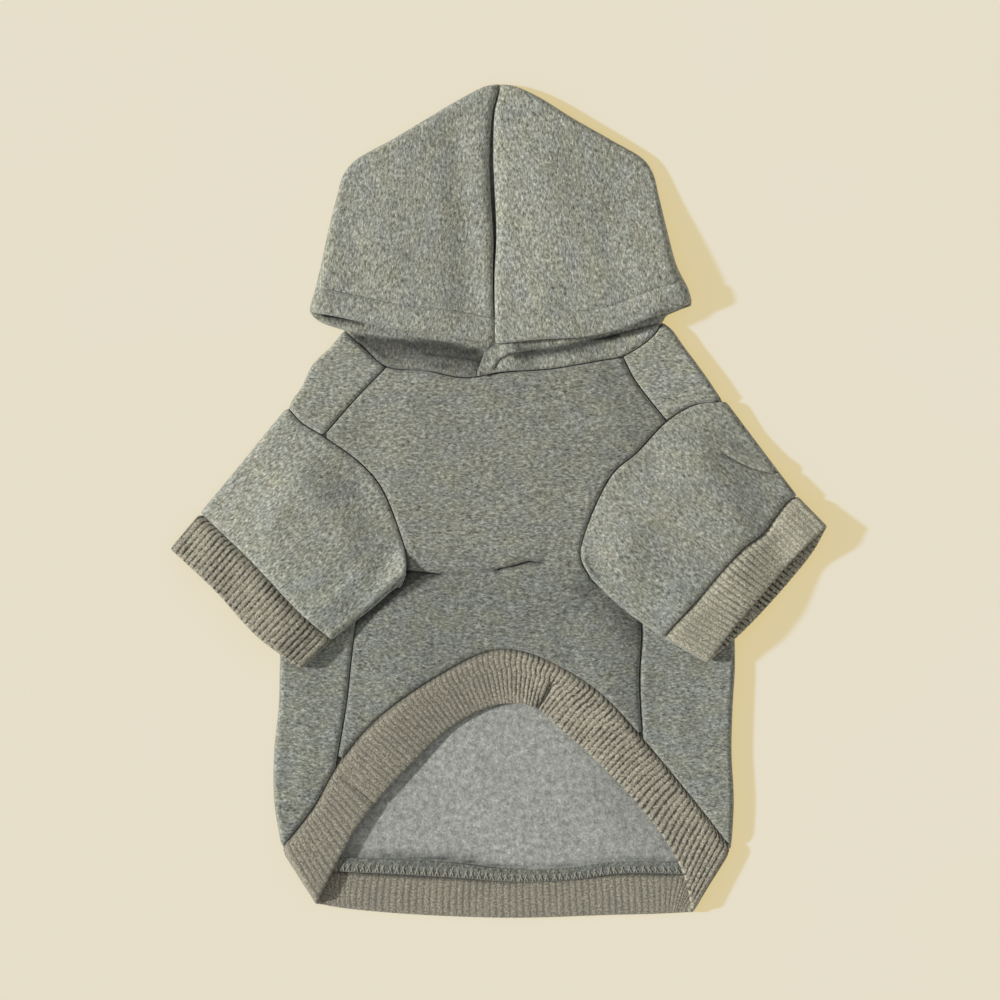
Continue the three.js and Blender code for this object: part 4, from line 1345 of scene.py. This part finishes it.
def marl(name, turn, tone=1.0, hem_tone_and_shade=1.0):
    """Grey marl sweatshirt fleece, brushed on its inner face, with its colour changed towards the hem: darker
    and cooler there, partly as painted shade.
    """
    nodes = Nodes(name)
    mottle = fibres(nodes, turn)
    dark = nodes.mix(nodes.spread(mottle, 0.0, 0.48), MARL["dark"], MARL["base"])
    face = nodes.mix(nodes.spread(mottle, 0.52, 1.0), dark, MARL["light"])
    cloud = nodes.streaks(turn, 8, 13)
    tint = nodes.mix(nodes.spread(cloud, 0.32, 0.68), rgb(246, 251, 251), rgb(252, 253, 240))
    down = nodes.spread(nodes.split(nodes.place())[1], HEM_TONE_AND_SHADE["from"] * MM, HEM_TONE_AND_SHADE["to"] * MM)
    hem_tint_and_shade = (*(part * hem_tone_and_shade for part in HEM_TONE_AND_SHADE["tint"]), 1.0)
    toned = nodes.multiply(nodes.multiply(face, tint), nodes.mix(down, (tone, tone, tone, 1.0), hem_tint_and_shade))
    fine_nap = nodes.streaks(0, 1.0, 1.0, 3.0, 0.7)
    clumps = nodes.streaks(0, 2.6, 2.6, 3.0, 0.6)
    nap = nodes.math("MULTIPLY", nodes.math("ADD", fine_nap, clumps), 0.5)
    brushed = nodes.mix(nodes.spread(nap, 0.37, 0.52), BRUSHED["dark"], BRUSHED["base"])
    brushed = nodes.mix(nodes.spread(nap, 0.52, 0.65), brushed, BRUSHED["light"])
    inner = nodes.attribute("inner")
    colour = nodes.mix(nodes.spread(inner, 0.4, 0.7), toned, brushed)
    colour = nodes.multiply(colour, DEEP_SHADE, nodes.attribute("shade"))
    height = nodes.math("ADD", mottle, nodes.math("MULTIPLY", nodes.math("MULTIPLY", nap, inner), 2.0))
    return nodes.finish(colour, height, 0.17)


def rib_knit(name, tint):
    """Rib knit: pale flecked crests, with dark furrows broken into dashes, fainter where it is relaxed. The
    furrows' darkness is painted shade.
    """
    nodes = Nodes(name)
    rib, along, _ = nodes.split(nodes.attribute("knit", "Vector"))
    wave = nodes.math("ABSOLUTE", nodes.math("COSINE", nodes.math("MULTIPLY", rib, math.pi)))
    place = nodes.add("ShaderNodeCombineXYZ", {0: rib, 1: nodes.math("MULTIPLY", along, 0.55), 2: 0.0})
    dashes = nodes.spread(nodes.noise(place, 1.5, 2.0, 0.6), 0.34, 0.66, -0.35, 0.5)
    flecks = nodes.streaks(0, 0.8, 0.8, 3.0, 0.7)
    patches = nodes.streaks(30, 9, 9)
    crest = nodes.mix(nodes.spread(flecks, 0.34, 0.68), rgb(98, 93, 77), rgb(200, 193, 171))
    furrowed = nodes.math("SUBTRACT", 1.0, nodes.math("MULTIPLY", wave, wave))
    depth = nodes.math("ADD", wave, nodes.math("MULTIPLY", dashes, furrowed))
    depth = nodes.math("ADD", depth, nodes.spread(patches, 0.4, 0.62, -0.15, 0.2))
    # Painted shade in the furrows: near black where the ribs are drawn up, paler where they lie open.
    furrow = nodes.mix(nodes.attribute("relaxed"), rgb(44, 41, 33), rgb(132, 130, 117))
    colour = nodes.mix(nodes.spread(depth, 0.05, 0.8), furrow, crest)
    colour = nodes.multiply(colour, (*tint, 1.0))
    colour = nodes.multiply(colour, DEEP_SHADE, nodes.attribute("shade"))
    return nodes.finish(colour, flecks, 0.25)


def thread(name):
    nodes = Nodes(name)
    twist = nodes.streaks(35, 0.25, 0.6)
    colour = nodes.mix(nodes.spread(twist, 0.35, 0.65), rgb(96, 94, 82), rgb(168, 165, 150))
    return nodes.finish(colour, twist, 0.05)


def glowing_surface(name):
    """The smooth cream surface. It glows a little, so that the shadows on it stay pale and warm."""
    nodes = Nodes(name)
    cloud = nodes.streaks(20, 160, 160)
    grain = nodes.streaks(0, 1.2, 1.2)
    colour = nodes.mix(nodes.spread(cloud, 0.35, 0.65), (0.145, 0.235, 0.4, 1), (0.155, 0.245, 0.415, 1))
    nodes.shader.inputs["Emission Color"].default_value = (0.64, 0.49, 0.178, 1)
    nodes.shader.inputs["Emission Strength"].default_value = 1.0
    return nodes.finish(colour, grain, 0.01, roughness=0.9, sheen=0.0)


# ---------------------------------------------------------------- shading of the sheets

# A painted shadow on the belly: the corner below the left slit, where the sleeve that lies over it casts one.
UNDER_SLEEVE = {
    "from": (-25.3, -32.6), "to": (-53, -50), "over": 1.0, "top": -31.6, "top_over": 0.5, "amount": 0.68,
}


def belly_shade(points):
    """Painted shade in the belly's creases, and a painted shadow in the corner between the left slit and the
    sleeve that lies over it.
    """
    u = UNDER_SLEEVE
    start, stop = np.array(u["from"]), np.array(u["to"])
    beyond = (start - points[:, :2]) @ to_left((stop - start)[None])[0]
    corner = smooth(beyond / u["over"]) * smooth((u["top"] - points[:, 1]) / u["top_over"])
    return 1 - (1 - shade("belly", points)) * (1 - u["amount"] * corner * (points[:, 0] < start[0]))


def inside_shade(points):
    """Only the lowest layer of the body, whose inner face shows inside the hem."""
    return shade("inside", points) * (points[:, 2] < LAYER)


def collar_shade(points):
    """Painted shade on the collar only, between the hood's top layer and its back one."""
    x, y, z = points.T
    c = COLLAR_SHADE
    below = below_stitch(x, y)
    left_part = smooth((c["to"] - x) / c["to_over"]) * smooth((x - c["from"]) / c["from_over"])
    deep = c["amount"] * left_part * smooth(below / c["over"]) * bell(below, c["reach"])
    return (1 - (1 - shade("collar", points)) * (1 - deep)) * ~in_hood_top(points) * (z > LAYER)


# ---------------------------------------------------------------- the garment

BAND_DARKER = 0.26  # how much darker the band is where its ribs lie open
# What each piece stands for, its finish, and the cut of what shows: width and length, and area, in metres.
CUTS = {
    "back": ("back_panel", "fleece", (0.275, 0.247), 0.058),
    "belly": ("belly_panel", "fleece", (0.151, 0.182), 0.0165),
    "hood_left": ("hood_left", "fleece", (0.165, 0.13), 0.0155),
    "hood_right": ("hood_right", "fleece", (0.165, 0.13), 0.0165),
    "sleeve_left": ("sleeve_left", "fleece", (0.19, 0.06), 0.0095),
    "sleeve_right": ("sleeve_right", "fleece", (0.19, 0.06), 0.0095),
    "cuff_left": ("cuff_left", "rib_knit", (0.175, 0.021), 0.0036),
    "cuff_right": ("cuff_right", "rib_knit", (0.175, 0.021), 0.0036),
    "band": ("hem_band", "rib_knit", (0.5, 0.023), 0.0105),
}


def sheet_piece(name, layers, material, thickness, shading):
    """A piece from its layers. Half its thickness and its shading are functions of its points."""
    points, faces = weld(layers)
    points, faces, fields = shell(points, faces, thickness(points), {"shade": shading(points)})
    return piece(name, points, faces, fields, material)


def make_body():
    """The back and the belly, whose colour is made a little darker towards the hem, partly as painted shade.
    """
    back, belly = body_parts()
    cloth = marl("marl_back", 90, 0.96, 0.82)
    sheet_piece("back", back, cloth, partial(pinched, "back"), inside_shade)
    cloth = marl("marl_belly", 90, 0.8, 0.69)
    sheet_piece("belly", belly, cloth, partial(pinched, "body"), belly_shade)


def make_hood_half(side, turn, tone):
    cloth = marl(f"marl_hood_{side}", turn, tone, tone)
    name = f"hood_half_{side}"
    sheet_piece(name, hood_parts(side), cloth, hood_half_thickness, collar_shade)


def make_sleeve(side, turn, tone):
    points, faces = ring_mesh(sleeve_rows(side))
    half = pinched(f"sleeve_{side}", points, LEVEL_BELLY + LAYER)
    points, faces, fields = shell(points, faces, half)
    cloth = marl(f"marl_sleeve_{side}", turn, tone, tone)
    piece(f"sleeve_tube_{side}", points, faces, fields, cloth)


def make_cuff(side, tint):
    knit = rib_knit(f"rib_cuff_{side}", tint)
    relaxed, shading = partial(cuff_relaxed, side), partial(shade, f"cuff_{side}")
    name = f"cuff_rib_{side}"
    ribbed(name, *cuff_rows(side), knit, CUFF_DEPTH, relaxed, 0, shading)


def make_band():
    knit = rib_knit("rib_band", (1.0, 1.0, 1.0))
    shading = partial(shade, "band")
    ribbed("hem_rib", *band_rows(), knit, BAND_DEPTH, band_relaxed, BAND_DARKER, shading)


make_body()
make_hood_half("left", 4, 0.94)
make_hood_half("right", -14, 1.06)
make_sleeve("left", 50, 1.03)
make_cuff("left", (0.91, 0.92, 0.91))
make_sleeve("right", -50, 0.9)
# Painted light: the right cuff's rib colour is lightened, where the cuff slopes away from the key light.
make_cuff("right", (1.10, 1.13, 1.11))
make_band()
overlock = overlock_strip("overlock_strip", marl("marl_overlock", 20, 0.56, 0.56))
loops = overlock_loops("overlock_loops", thread("thread"))
for key, (node, finish, flat, area) in CUTS.items():
    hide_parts(node)


# ---------------------------------------------------------------- floor, camera and light

FLOOR = {"half": 2, "level": -0.1 * MM}  # just below the cloth's flat underside, so as not to share its plane
CAMERA = {"x": 0.75, "y": 0.44, "view": 440, "lens": 200, "sensor": 36}  # "view" is the width that it sees
SUN = {"height": 29, "angle": 4, "level": 0.55, "from_above": 0.03}  # low, from the left
WORLD_LEVEL = 0.45

half, level = FLOOR["half"], FLOOR["level"]
corners = [(-half, -half, level), (half, -half, level), (half, half, level), (-half, half, level)]
floor_mesh = bpy.data.meshes.new("floor")
floor_mesh.from_pydata(corners, [], [(0, 1, 2, 3)])
floor_mesh.materials.append(glowing_surface("cream_surface"))
add_object("floor", floor_mesh)

camera = add_object("camera", bpy.data.cameras.new("camera"))
camera.data.sensor_width = CAMERA["sensor"]
camera.data.lens = CAMERA["lens"]
distance = CAMERA["view"] * CAMERA["lens"] / CAMERA["sensor"]
camera.location = (CAMERA["x"] * MM, CAMERA["y"] * MM, distance * MM)
bpy.context.scene.camera = camera

sun = add_object("key", bpy.data.lights.new("key", "SUN"))
sun_height = math.radians(SUN["height"])
sun.data.energy = SUN["level"] * math.pi / math.sin(sun_height)
sun.data.angle = math.radians(SUN["angle"])
sun_from = Vector((-math.cos(sun_height), SUN["from_above"], math.sin(sun_height)))
sun.rotation_euler = sun_from.to_track_quat("Z", "Y").to_euler()
world = bpy.data.worlds.new("world")
bpy.context.scene.world = world
world.use_nodes = True
world.node_tree.nodes["Background"].inputs["Color"].default_value = (WORLD_LEVEL, WORLD_LEVEL, WORLD_LEVEL, 1)
bpy.context.scene.view_settings.view_transform = "Standard"
